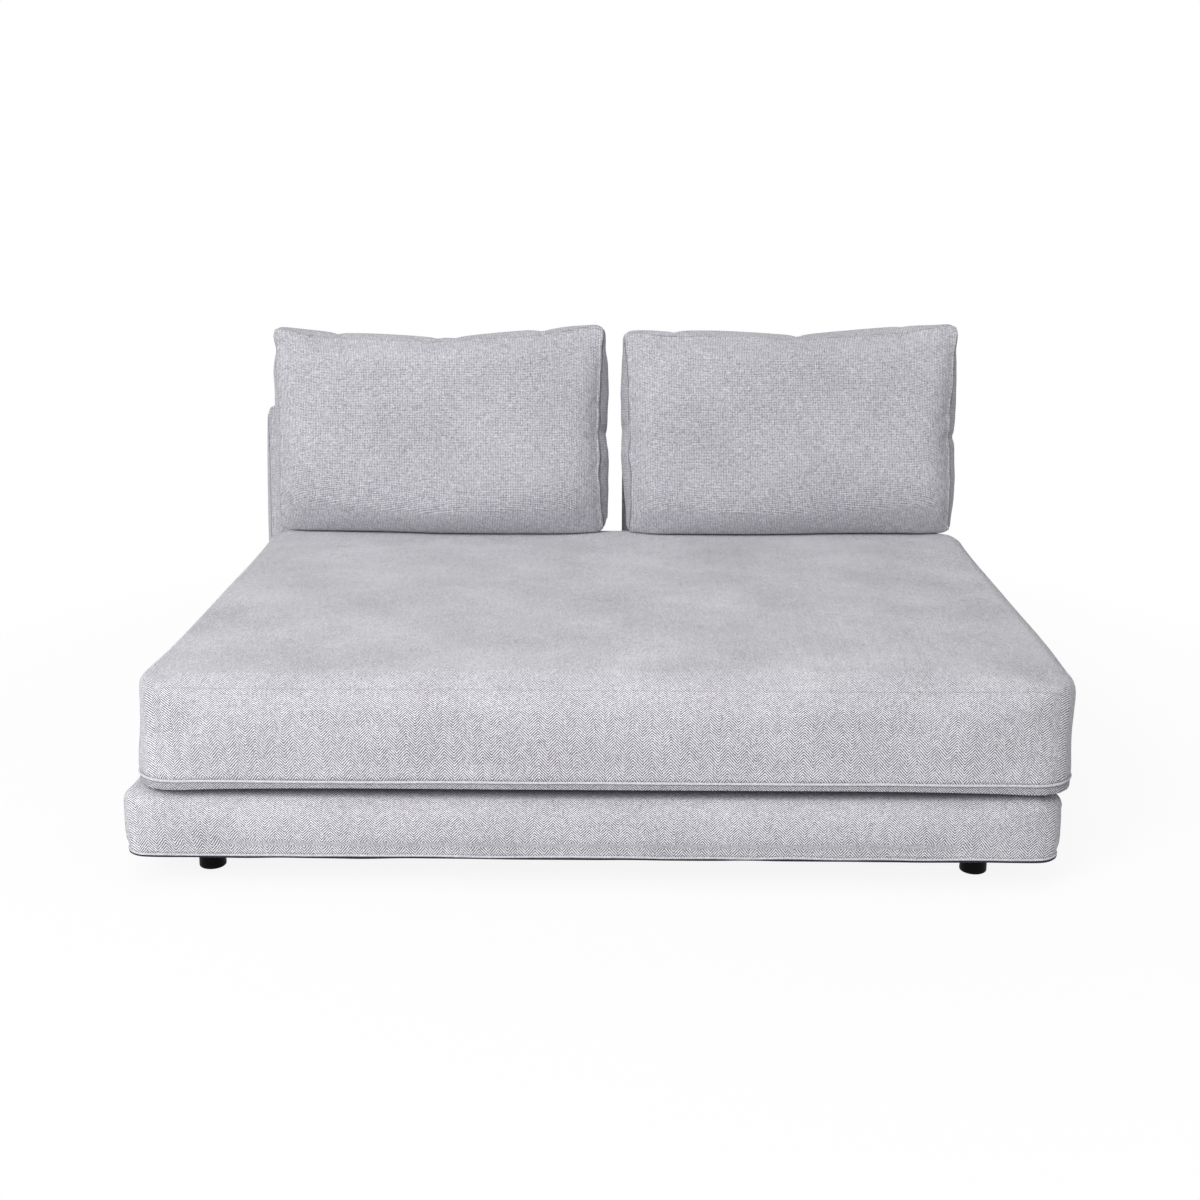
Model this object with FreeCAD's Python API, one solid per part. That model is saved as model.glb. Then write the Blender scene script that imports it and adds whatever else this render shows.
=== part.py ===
import FreeCAD, Part
import math
import os

Vector = FreeCAD.Vector
Rotation = FreeCAD.Rotation
Placement = FreeCAD.Placement

os.makedirs("parts", exist_ok=True)

# Driving dimensions in millimetres, angles in degrees.

# Overall platform, the upholstered box the daybed stands on.
platform_width = 1600.0
platform_depth = 1284.0
platform_height = 118.0
platform_corner_radius = 45.0
platform_edge_radius = 26.0

# Upholstery layers shared by all the pieces.
fabric_thickness = 2.0
lining_thickness = 1.0
touch_gap = 0.3

# Feet, their studs and the nuts that hold them.
foot_height = 55.0
foot_top_diameter = 45.0
foot_base_diameter = 47.0
foot_edge_radius = 3.0
foot_inset_side = 133.0
foot_inset_front = 92.0
stud_diameter = 8.0
stud_floor_cover = 17.0
stud_reach = 5.0
nut_flange_diameter = 22.0
nut_flange_thickness = 1.5
nut_barrel_diameter = 10.0
nut_barrel_length = 12.0

# Timber frame of the platform.
side_foam_thickness = 18.0
rail_thickness = 24.0
joist_drop = 15.0
joist_lift = 20.0
plate_thickness = 18.0
plate_margin = 50.0
corner_block_length = 64.0
corner_block_drop = 10.0
nut_clearance = 5.0

# Webbing, platform pad and hem.
strap_width = 70.0
strap_thickness = 1.8
strap_play = 0.4
strap_rest = 18.0
lengthwise_strap_count = 7
strap_flat_margin = 5.0
strap_least_gap = 35.0
pad_thickness = 16.0
hem_margin = 6.0
hem_piping_radius = 3.0
lining_inset = 10.0

# Seat cushion.
seat_width = 1575.0
seat_thickness = 197.0
seat_slip = 20.0
seat_rear_gap = 8.0
seat_corner_radius = 62.0
seat_upper_radius = 40.0
seat_lower_radius = 8.0
seat_band_height = 22.0
seat_piping_radius = 2.2
seat_topper_thickness = 45.0
seat_zip_height = 60.0

# Backrests, two upholstered panels that plug into the platform.
rake_angle = 9.0
backrest_side_inset = 17.0
backrest_gap = 96.0
backrest_height = 477.0
backrest_thickness = 110.0
backrest_corner_radius = 26.0
backrest_front_radius = 20.0
backrest_rear_radius = 14.0
backrest_wrap = 22.0
backrest_stile_width = 45.0
backrest_top_rail_height = 45.0
backrest_bottom_rail_height = 120.0
backrest_panel_thickness = 6.0
bolt_diameter = 8.0
bolt_head_diameter = 15.0
bolt_head_height = 4.0

# Steel posts and the sleeves that take them.
post_spacing = 360.0
post_width = 40.0
post_thickness = 8.0
post_top_margin = 2.0
post_bolt_margin = 26.0
post_bolt_pitch = 41.0
sleeve_wall = 3.5
sleeve_play = 0.4
sleeve_drop = 26.0
sleeve_floor_clearance = 4.0
post_end_clearance = 5.0
sleeve_ear = 24.0
wedge_least = 6.0
slot_play = 2.0
screw_diameter = 5.0
screw_head_diameter = 10.0
screw_head_height = 3.0
screw_length = 26.0

# Loose back cushions.
cushion_width = 763.0
cushion_height = 444.0
cushion_thickness = 168.0
cushion_gap = 25.0
cushion_slip = 25.0
cushion_tuck = 40.0
cushion_corner_radius = 46.0
cushion_front_radius = 42.0
cushion_rear_radius = 24.0
cushion_front_seam = 46.0
cushion_rear_seam = 28.0

# Zips in the cushion covers.
zip_end_margin = 130.0
zip_tape_width = 12.0
zip_tape_thickness = 1.0
zip_coil_width = 4.0
zip_coil_thickness = 2.0
zip_slider_length = 15.0
zip_slider_width = 9.0
zip_slider_tail = 6.0
zip_slider_thickness = 2.6
zip_groove_play = 1.2

# Positions that follow from the driving dimensions.
rake = math.radians(rake_angle)
backrest_overhang = (backrest_height - backrest_corner_radius) * math.tan(rake)
front_y = -(platform_depth + backrest_overhang) / 2
rear_y = front_y + platform_depth
backrest_face_y = rear_y - backrest_thickness / math.cos(rake)
seat_depth = backrest_face_y - seat_rear_gap - front_y

lining_z = foot_height
hem_z = lining_z + lining_thickness
frame_z = hem_z + fabric_thickness
platform_top_z = foot_height + platform_height
pad_top_z = platform_top_z - fabric_thickness - touch_gap
pad_z = pad_top_z - pad_thickness
rail_top_z = pad_z - 2 * strap_thickness - strap_play
plate_top_z = hem_z + plate_thickness
seat_z = platform_top_z + touch_gap
seat_top_z = seat_z + seat_thickness
seat_piping_z = seat_z + seat_band_height
skin = fabric_thickness + touch_gap

rail_outer_x = platform_width / 2 - fabric_thickness - side_foam_thickness
rail_inner_x = rail_outer_x - rail_thickness
rail_front_y = front_y + fabric_thickness + side_foam_thickness
rail_rear_y = rear_y - fabric_thickness - side_foam_thickness
bay_front_y = rail_front_y + rail_thickness
bay_rear_y = rail_rear_y - rail_thickness

foot_x = platform_width / 2 - foot_inset_side
foot_front_y = front_y + foot_inset_front
foot_rear_y = rear_y - foot_inset_front

backrest_width = platform_width / 2 - backrest_side_inset - backrest_gap / 2
backrest_x = (backrest_width + backrest_gap) / 2
sleeve_half_depth = post_thickness / 2 + sleeve_play + sleeve_wall
sleeve_half_width = post_width / 2 + sleeve_play + sleeve_wall
ear_half_width = sleeve_half_width + sleeve_ear
sleeve_top = -sleeve_drop
wedge_face_y = bay_rear_y - wedge_least
sleeve_back = (wedge_face_y - backrest_face_y - sleeve_top * math.sin(rake)) / math.cos(rake)
post_depth = sleeve_back - sleeve_half_depth
sleeve_front = post_depth - sleeve_half_depth
sleeve_floor_z = plate_top_z + sleeve_floor_clearance
sleeve_base = (sleeve_floor_z - platform_top_z + sleeve_back * math.sin(rake)) / math.cos(rake)
post_base = sleeve_base + post_end_clearance
post_rise = backrest_bottom_rail_height - post_top_margin
frame_depth = post_depth + post_thickness / 2
panel_depth = backrest_thickness - skin - backrest_panel_thickness

far = 4 * platform_width

# Placements in the raked frame: back along Y and up along Z for the hard parts,
# up along Y and towards the sitter along Z for the upholstered blocks.
rake_frame = Placement(Vector(0, backrest_face_y, platform_top_z), Rotation(Vector(1, 0, 0), -rake_angle))
block_turn = Rotation(Vector(1, 0, 0), 90 - rake_angle)
rake_up = Vector(0, math.sin(rake), math.cos(rake))
rake_back = Vector(0, math.cos(rake), -math.sin(rake))


def box(x0, x1, y0, y1, z0, z1):
    return Part.makeBox(x1 - x0, y1 - y0, z1 - z0, Vector(x0, y0, z0))


def rod(start, axis, diameter, length):
    return Part.makeCylinder(diameter / 2, length, start, axis)


def raked(shape):
    turned = shape.copy()
    turned.Placement = rake_frame.multiply(shape.Placement)
    return turned


def above(z):
    return box(-far, far, -far, far, z, far)


def between(z0, z1):
    return box(-far, far, -far, far, z0, z1)


def save(name, solids):
    shape = solids
    if isinstance(solids, list):
        shape = Part.makeCompound(solids)
    shape.exportStep("parts/" + name + ".step")


# A rounded rectangle, centred on X, running from Y 0 to its length.
def rounded_plan(width, length, radius, z):
    half = width / 2
    bow = radius * (1 - math.sqrt(0.5))
    corners = [(half, 0, -1, 1), (half, length, -1, -1), (-half, length, 1, -1), (-half, 0, 1, 1)]
    edges = []
    last = None
    for index, (x, y, in_x, in_y) in enumerate(corners):
        on_x = Vector(x + in_x * radius, y, z)
        on_y = Vector(x, y + in_y * radius, z)
        middle = Vector(x + in_x * bow, y + in_y * bow, z)
        start, end = (on_x, on_y) if index % 2 == 0 else (on_y, on_x)
        if last is not None:
            edges.append(Part.LineSegment(last, start).toShape())
        else:
            first = start
        edges.append(Part.Arc(start, middle, end).toShape())
        last = end
    edges.append(Part.LineSegment(last, first).toShape())
    return Part.Wire(edges)


# A padded block: rounded plan, its lower and upper rims rounded as well.
def soft_block(width, length, thickness, corner_radius, lower_radius, upper_radius):
    plan = Part.Face(rounded_plan(width, length, corner_radius, 0))
    block = plan.extrude(Vector(0, 0, thickness))
    for level, radius in ((0, lower_radius), (thickness, upper_radius)):
        if radius > 0:
            rim = []
            for edge in block.Edges:
                extent = edge.BoundBox
                if abs(extent.ZMin - level) < touch_gap and abs(extent.ZMax - level) < touch_gap:
                    rim.append(edge)
            block = block.makeFillet(min(radius, corner_radius - touch_gap), rim)
    return block


# The same block drawn in by an even margin on every side.
def inner_block(width, length, thickness, corner_radius, lower_radius, upper_radius, margin):
    lower = max(lower_radius - margin, 0)
    block = soft_block(width - 2 * margin, length - 2 * margin, thickness - 2 * margin,
                       corner_radius - margin, lower, upper_radius - margin)
    block.translate(Vector(0, margin, margin))
    return block


# A round cord laid along the outline of a rounded plan.
def piping(width, length, corner_radius, z, radius):
    path = rounded_plan(width, length, corner_radius, z)
    start = path.Edges[0].Vertexes[0].Point
    circle = Part.Circle(start, path.Edges[0].tangentAt(path.Edges[0].FirstParameter), radius)
    return path.makePipe(Part.Face(Part.Wire(circle.toShape())))


# One strap seen from its edge: it dips under and climbs over the straps it meets.
def strap_profile(start, end, crossings, first_over):
    low = rail_top_z
    high = rail_top_z + strap_thickness + strap_play
    reach = strap_width / 2 + strap_flat_margin
    line = [(start, low), (start + strap_rest, low)]
    for index, place in enumerate(crossings):
        level = high if (index % 2 == 0) == first_over else low
        line.append((place - reach, level))
        line.append((place + reach, level))
    line.append((end - strap_rest, low))
    line.append((end, low))
    return line


def strap(line, along_x, centre):
    points = []
    for place, level in line:
        points.append((place, level))
    for place, level in reversed(line):
        points.append((place, level + strap_thickness))
    edge_at = centre - strap_width / 2
    corners = []
    for place, level in points:
        corner = Vector(place, edge_at, level) if along_x else Vector(edge_at, place, level)
        corners.append(corner)
    corners.append(corners[0])
    face = Part.Face(Part.makePolygon(corners))
    across = Vector(0, strap_width, 0) if along_x else Vector(strap_width, 0, 0)
    return face.extrude(across)


# Feet, studs, nuts and the plates that carry them.
feet = {}
plates = []
nuts = []
studs = []
blocks = []
stud_holes = []
for side_name, side in (("left", -1), ("right", 1)):
    for end_name, foot_y, wall_y, inward in (
        ("front", foot_front_y, bay_front_y, 1),
        ("rear", foot_rear_y, bay_rear_y, -1),
    ):
        x = side * foot_x
        base = Vector(x, foot_y, 0)
        up = Vector(0, 0, 1)
        cone = Part.makeCone(foot_base_diameter / 2, foot_top_diameter / 2, foot_height, base, up)
        rim = []
        for edge in cone.Edges:
            if edge.BoundBox.ZMax < foot_height / 2:
                rim.append(edge)
        cone = cone.makeFillet(foot_edge_radius, rim)
        stud_base = Vector(x, foot_y, stud_floor_cover)
        stud_length = plate_top_z + stud_reach - stud_floor_cover
        hole_diameter = stud_diameter + touch_gap
        feet["foot_" + end_name + "_" + side_name] = cone.cut(rod(stud_base, up, hole_diameter, foot_height))
        studs.append(rod(stud_base, up, stud_diameter, stud_length))
        stud_holes.append(rod(stud_base, up, hole_diameter, far))
        plate_x = sorted((side * rail_inner_x, x - side * plate_margin))
        plate_y = sorted((wall_y, foot_y + inward * plate_margin))
        plate = box(plate_x[0], plate_x[1], plate_y[0], plate_y[1], hem_z, plate_top_z)
        barrel_base = Vector(x, foot_y, plate_top_z - nut_barrel_length)
        plates.append(plate.cut(rod(Vector(x, foot_y, 0), up, nut_barrel_diameter + touch_gap, far)))
        nut = rod(Vector(x, foot_y, plate_top_z), up, nut_flange_diameter, nut_flange_thickness)
        nut = nut.fuse(rod(barrel_base, up, nut_barrel_diameter, nut_barrel_length))
        nuts.append(nut.cut(rod(stud_base, up, hole_diameter, far)).removeSplitter())
        block_end = x + side * (nut_flange_diameter / 2 + nut_clearance)
        block_x = sorted((side * rail_inner_x, block_end))
        block_y = sorted((wall_y, wall_y + inward * corner_block_length))
        block_top = rail_top_z - corner_block_drop
        blocks.append(box(block_x[0], block_x[1], block_y[0], block_y[1], plate_top_z, block_top))

for name, foot in feet.items():
    save(name, foot)
save("foot_studs", studs)
save("foot_tee_nuts", nuts)
save("foot_plates", plates)
save("corner_blocks", blocks)

# Timber rails butted at the corners, with two joists tying front to rear.
save("rail_front", box(-rail_outer_x, rail_outer_x, rail_front_y, bay_front_y, frame_z, rail_top_z))
save("rail_left", box(-rail_outer_x, -rail_inner_x, bay_front_y, bay_rear_y, frame_z, rail_top_z))
save("rail_right", box(rail_inner_x, rail_outer_x, bay_front_y, bay_rear_y, frame_z, rail_top_z))
joist_top = rail_top_z - joist_drop
joists = []
for side in (-1, 1):
    joist_x = side * backrest_x
    x0 = joist_x - rail_thickness / 2
    x1 = joist_x + rail_thickness / 2
    joists.append(box(x0, x1, bay_front_y, bay_rear_y, frame_z + joist_lift, joist_top))
save("joists", joists)

# Post sleeves: a raked tube with an ear on each side, screwed through a wedge to the rear rail.
post_places = []
for side in (-1, 1):
    for half in (-1, 1):
        post_places.append(side * backrest_x + half * post_spacing / 2)
post_places.sort()
sleeves = []
wedges = []
screws = []
screw_holes = []
for x in post_places:
    tube = box(x - sleeve_half_width, x + sleeve_half_width, sleeve_front, sleeve_back,
               sleeve_base, sleeve_top)
    ears = box(x - ear_half_width, x + ear_half_width, sleeve_back - sleeve_wall, sleeve_back,
               sleeve_base, sleeve_top)
    bore_x = post_width / 2 + sleeve_play
    bore_y = post_thickness / 2 + sleeve_play
    bore = box(x - bore_x, x + bore_x, post_depth - bore_y, post_depth + bore_y,
               sleeve_base - sleeve_half_width, 0)
    sleeve = raked(tube.fuse(ears).cut(bore).removeSplitter())
    extent = sleeve.BoundBox
    wedge = box(x - ear_half_width, x + ear_half_width, extent.YMin, bay_rear_y, extent.ZMin, extent.ZMax)
    in_front = raked(box(-far, far, -far, sleeve_back, -far, far))
    wedge = wedge.cut(in_front)
    for side in (-1, 1):
        screw_x = x + side * (sleeve_half_width + sleeve_ear / 2)
        middle = (sleeve_top + sleeve_base) / 2
        head = rod(Vector(screw_x, sleeve_back - sleeve_wall - screw_head_height, middle), Vector(0, 1, 0),
                   screw_head_diameter, screw_head_height)
        shank = rod(Vector(screw_x, sleeve_back - sleeve_wall, middle), Vector(0, 1, 0),
                    screw_diameter, screw_length)
        screws.append(raked(head.fuse(shank).removeSplitter()))
        hole = raked(rod(Vector(screw_x, sleeve_back - sleeve_wall, middle), Vector(0, 1, 0),
                         screw_diameter + touch_gap, screw_length + touch_gap))
        screw_holes.append(hole)
        sleeve = sleeve.cut(hole)
        wedge = wedge.cut(hole)
    sleeves.append(sleeve)
    wedges.append(wedge)
save("post_sleeves", sleeves)
save("sleeve_wedges", wedges)
save("sleeve_screws", screws)
rail_rear = box(-rail_outer_x, rail_outer_x, bay_rear_y, rail_rear_y, frame_z, rail_top_z)
save("rail_rear", rail_rear.cut(Part.makeCompound(screw_holes)))

# Interlaced elastic webbing, kept clear of the posts.
bays = [-rail_inner_x] + post_places + [rail_inner_x]
crosswise_places = []
for index in range(len(bays) - 1):
    bay_start = bays[index] + (ear_half_width if index > 0 else 0)
    bay_end = bays[index + 1] - (ear_half_width if index < len(post_places) else 0)
    count = max(int((bay_end - bay_start) / (strap_width + strap_least_gap)), 1)
    pitch = (bay_end - bay_start) / count
    for step in range(count):
        crosswise_places.append(bay_start + pitch * (step + 1 / 2))
lengthwise_pitch = (backrest_face_y - bay_front_y) / lengthwise_strap_count
lengthwise_places = []
for step in range(lengthwise_strap_count):
    lengthwise_places.append(bay_front_y + lengthwise_pitch * (step + 1 / 2))
crosswise = []
for index, place in enumerate(crosswise_places):
    line = strap_profile(rail_front_y, rail_rear_y, lengthwise_places, index % 2 == 0)
    crosswise.append(strap(line, False, place))
lengthwise = []
for index, place in enumerate(lengthwise_places):
    line = strap_profile(-rail_outer_x, rail_outer_x, crosswise_places, index % 2 == 1)
    lengthwise.append(strap(line, True, place))
save("webbing_crosswise", crosswise)
save("webbing_lengthwise", lengthwise)

# Slots through the pad and the cover for the posts.
slots = []
for x in post_places:
    half_x = post_width / 2 + slot_play
    half_y = post_thickness / 2 + slot_play
    slot = box(x - half_x, x + half_x, post_depth - half_y, post_depth + half_y, -far, post_rise)
    slots.append(raked(slot))
slots = Part.makeCompound(slots)

# Platform upholstery: pad over the webbing, foam round the rails, cover, hem, piping and lining.
cover_height = platform_top_z - hem_z
platform_sizes = (platform_width, platform_depth, cover_height,
                  platform_corner_radius, 0, platform_edge_radius)
to_platform = Vector(0, front_y, hem_z)
cover_outer = soft_block(*platform_sizes)
cover_outer.translate(to_platform)
cover_inner = inner_block(*platform_sizes, fabric_thickness)
cover_inner.translate(to_platform)
foam_block = inner_block(*platform_sizes, skin)
foam_block.translate(to_platform)
hem_room = 2 * hem_piping_radius
frame_room = box(-rail_outer_x, rail_outer_x, rail_front_y, rail_rear_y, 0, far)
save("platform_pad", foam_block.common(above(pad_z)).cut(slots))
save("platform_side_foam", foam_block.common(between(hem_z + hem_room, pad_z)).cut(frame_room))
shell = cover_outer.cut(cover_inner)
save("platform_cover", shell.common(above(hem_z + hem_room)).cut(slots))
hem_plan = (platform_width - 2 * hem_room, platform_depth - 2 * hem_room)
hem = Part.Face(rounded_plan(*hem_plan, platform_corner_radius - hem_room, hem_z))
hem.translate(Vector(0, front_y + hem_room, 0))
hem = hem.extrude(Vector(0, 0, fabric_thickness))
hem_x = rail_inner_x + hem_margin
hem_opening = box(-hem_x, hem_x, bay_front_y - hem_margin, bay_rear_y + hem_margin, 0, far)
save("platform_hem", hem.cut(hem_opening))
hem_cord = piping(platform_width - hem_room, platform_depth - hem_room,
                  platform_corner_radius - hem_piping_radius, hem_z + hem_piping_radius, hem_piping_radius)
hem_cord.translate(Vector(0, front_y + hem_piping_radius, 0))
save("platform_piping", hem_cord)
lining = Part.Face(rounded_plan(platform_width - 2 * lining_inset, platform_depth - 2 * lining_inset,
                                platform_corner_radius - lining_inset, lining_z))
lining.translate(Vector(0, front_y + lining_inset, 0))
lining = lining.extrude(Vector(0, 0, lining_thickness))
save("platform_lining", lining.cut(Part.makeCompound(stud_holes)))

# Zip: tape under the cover opening, coil on the tape and a slider that runs along the coil.
# It is drawn along X with its open side facing down.
zip_groove_width = zip_tape_width + 2 * zip_groove_play
zip_depth = zip_tape_thickness + zip_coil_thickness + zip_slider_thickness + touch_gap
zip_groove_depth = zip_depth + zip_groove_play


def zip_groove(length, margin):
    half_y = zip_groove_width / 2 + margin
    half_x = length / 2 + zip_groove_play + margin
    return box(-half_x, half_x, -half_y, half_y, -zip_groove_depth, zip_groove_depth + margin)


def zip_tape(length):
    roof = zip_groove_depth
    coil_top = roof - zip_tape_thickness
    half_tape = zip_tape_width / 2
    half_coil = zip_coil_width / 2
    tape = box(-length / 2, length / 2, -half_tape, half_tape, coil_top, roof)
    coil = box(-length / 2, length / 2, -half_coil, half_coil, coil_top - zip_coil_thickness, coil_top)
    return tape.fuse(coil).removeSplitter()


def zip_slider(length):
    top = zip_groove_depth - zip_tape_thickness - zip_coil_thickness - touch_gap
    start = -length / 2
    neck = start + zip_slider_length / 2
    end = start + zip_slider_length
    wide = zip_slider_width / 2
    narrow = zip_slider_tail / 2
    outline = [(start, -narrow), (neck, -wide), (end, -wide), (end, wide), (neck, wide), (start, narrow)]
    corners = []
    for x, y in outline:
        corners.append(Vector(x, y, top))
    corners.append(corners[0])
    plate = Part.Face(Part.makePolygon(corners)).extrude(Vector(0, 0, -zip_slider_thickness))
    upright = []
    for edge in plate.Edges:
        if edge.BoundBox.ZLength > zip_slider_thickness / 2:
            upright.append(edge)
    return plate.makeFillet(touch_gap, upright)


# Seat cushion: foam core and topper in a boxed cover with a piped lower seam.
seat_sizes = (seat_width, seat_depth, seat_thickness,
              seat_corner_radius, seat_lower_radius, seat_upper_radius)
to_seat = Vector(seat_slip, front_y, seat_z)
seat_outer = soft_block(*seat_sizes)
seat_outer.translate(to_seat)
seat_inner = inner_block(*seat_sizes, fabric_thickness)
seat_inner.translate(to_seat)
seat_fill = inner_block(*seat_sizes, skin)
seat_fill.translate(to_seat)
seat_zip_length = seat_width - 2 * zip_end_margin
seat_zip_z = seat_z + seat_zip_height
zip_at_rear = Placement(Vector(seat_slip, front_y + seat_depth, seat_zip_z), Rotation(Vector(1, 0, 0), 90))


def at_rear(shape):
    turned = shape.copy()
    turned.Placement = zip_at_rear.multiply(shape.Placement)
    return turned


seat_outer = seat_outer.cut(at_rear(zip_groove(seat_zip_length, 0)))
seat_inner = seat_inner.cut(at_rear(zip_groove(seat_zip_length, fabric_thickness)))
seat_fill = seat_fill.cut(at_rear(zip_groove(seat_zip_length, skin)))
topper_z = seat_top_z - seat_topper_thickness
save("seat_core", seat_fill.common(between(0, topper_z)))
save("seat_topper", seat_fill.common(above(topper_z)))
seat_shell = seat_outer.cut(seat_inner)
band_top = seat_piping_z - seat_piping_radius
underside_top = seat_z + fabric_thickness
save("seat_cover_top", seat_shell.common(above(seat_piping_z + seat_piping_radius)))
save("seat_cover_band", seat_shell.common(between(underside_top, band_top)))
save("seat_cover_underside", seat_shell.common(between(0, underside_top)))
seat_cord = piping(seat_width, seat_depth, seat_corner_radius, seat_piping_z, seat_piping_radius)
seat_cord.translate(Vector(seat_slip, front_y, 0))
save("seat_piping", seat_cord)
save("seat_zip", at_rear(zip_tape(seat_zip_length)))
save("seat_zip_slider", at_rear(zip_slider(seat_zip_length)))

# Backrests and back cushions, left and right alike.
backrest_sizes = (backrest_width, backrest_height + backrest_thickness, backrest_thickness,
                  backrest_corner_radius, backrest_rear_radius, backrest_front_radius)
cushion_sizes = (cushion_width, cushion_height + cushion_tuck, cushion_thickness,
                 cushion_corner_radius, cushion_rear_radius, cushion_front_radius)
cushion_foot_z = seat_top_z + touch_gap
backrest_foot_z = platform_top_z + touch_gap
cushion_rise = (cushion_foot_z - platform_top_z) / math.cos(rake)
cushion_zip_length = cushion_width - 2 * zip_end_margin
for side_name, side in (("left", -1), ("right", 1)):
    x = side * backrest_x
    name = "backrest_" + side_name
    rear_foot = Vector(x, backrest_face_y, platform_top_z) + rake_back * backrest_thickness
    rear_foot = rear_foot - rake_up * backrest_thickness
    to_backrest = Placement(rear_foot, block_turn)
    layers = []
    for margin in (0, fabric_thickness, skin):
        layer = inner_block(*backrest_sizes, margin)
        layer.Placement = to_backrest.multiply(layer.Placement)
        layers.append(layer.common(above(backrest_foot_z + margin)))
    save(name + "_cover", layers[0].cut(layers[1]).cut(slots))

    # Ladder frame of stiles and rails with a ply panel on its back.
    stile_out = backrest_width / 2 - backrest_wrap
    stile_in = stile_out - backrest_stile_width
    frame_top = backrest_height - backrest_wrap
    frame_foot = above(backrest_foot_z + skin)
    stiles = []
    for half in (-1, 1):
        stile_x = sorted((x + half * stile_out, x + half * stile_in))
        stile = box(stile_x[0], stile_x[1], frame_depth, panel_depth, -far, frame_top)
        stiles.append(raked(stile).common(frame_foot))
    top_rail = box(x - stile_in, x + stile_in, frame_depth, panel_depth,
                   frame_top - backrest_top_rail_height, frame_top)
    bottom_rail = box(x - stile_in, x + stile_in, frame_depth, panel_depth, -far, backrest_bottom_rail_height)
    panel = box(x - stile_out, x + stile_out, panel_depth, backrest_thickness - skin, -far, frame_top)
    pocket = box(x - stile_out, x + stile_out, frame_depth, far, -far, frame_top)
    top_rail = raked(top_rail)
    bottom_rail = raked(bottom_rail).common(frame_foot)
    foam = layers[2].cut(raked(pocket))

    # Flat steel posts bolted to the face of the bottom rail.
    posts = []
    bolts = []
    face = post_depth - post_thickness / 2
    bolt_length = panel_depth - face
    upper_bolt = post_rise - post_bolt_margin
    lower_bolt = upper_bolt - post_bolt_pitch
    for half in (-1, 1):
        post_x = x + half * post_spacing / 2
        half_x = post_width / 2
        post = box(post_x - half_x, post_x + half_x, face, frame_depth, post_base, post_rise)
        room_x = half_x + touch_gap
        post_room = box(post_x - room_x, post_x + room_x, face - touch_gap, frame_depth,
                        -far, post_rise + touch_gap)
        foam = foam.cut(raked(post_room))
        for bolt_z in (upper_bolt, lower_bolt):
            seat_point = Vector(post_x, face, bolt_z)
            head = rod(seat_point, Vector(0, -1, 0), bolt_head_diameter, bolt_head_height)
            shank = rod(seat_point, Vector(0, 1, 0), bolt_diameter, bolt_length)
            hole = rod(seat_point, Vector(0, 1, 0), bolt_diameter + touch_gap, bolt_length)
            head_room = rod(seat_point, Vector(0, -1, 0), bolt_head_diameter + 2 * touch_gap,
                            bolt_head_height + touch_gap)
            bolts.append(raked(head.fuse(shank).removeSplitter()))
            post = post.cut(hole)
            bottom_rail = bottom_rail.cut(raked(hole))
            foam = foam.cut(raked(head_room))
        posts.append(raked(post))
    save(name + "_foam", foam)
    save(name + "_stiles", stiles)
    save(name + "_rails", [top_rail, bottom_rail])
    save(name + "_panel", raked(panel).common(frame_foot))
    save(name + "_posts", posts)
    save(name + "_bolts", bolts)

    # Loose cushion leaning on the backrest, its foot flattened on the seat.
    x = cushion_slip + side * (cushion_gap + cushion_width) / 2
    name = "cushion_" + side_name
    foot = Vector(x, backrest_face_y, platform_top_z) + rake_up * (cushion_rise - cushion_tuck)
    foot = foot - rake_back * touch_gap
    to_cushion = Placement(foot, block_turn)
    foot_middle = foot + rake_up * cushion_tuck - rake_back * (cushion_thickness / 2)
    zip_place = Vector(x, foot_middle.y, cushion_foot_z)
    layers = []
    for margin in (0, fabric_thickness, skin):
        layer = inner_block(*cushion_sizes, margin)
        layer.Placement = to_cushion.multiply(layer.Placement)
        groove = zip_groove(cushion_zip_length, margin)
        groove.translate(zip_place)
        layers.append(layer.common(above(cushion_foot_z + margin)).cut(groove))
    save(name + "_fill", layers[2])
    cover = layers[0].cut(layers[1])
    half = cushion_width
    seams = ((0, cushion_rear_seam, "_rear_panel"),
             (cushion_rear_seam, cushion_thickness - cushion_front_seam, "_gusset"),
             (cushion_thickness - cushion_front_seam, cushion_thickness, "_front_panel"))
    for start, end, piece in seams:
        slab = box(-half, half, -half, 2 * half, start, end)
        slab.Placement = to_cushion.multiply(slab.Placement)
        save(name + piece, cover.common(slab))
    tape = zip_tape(cushion_zip_length)
    tape.translate(zip_place)
    save(name + "_zip", tape)
    slider = zip_slider(cushion_zip_length)
    slider.translate(zip_place)
    save(name + "_zip_slider", slider)
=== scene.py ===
import math
import bpy
from mathutils import Matrix, Vector, noise


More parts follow.
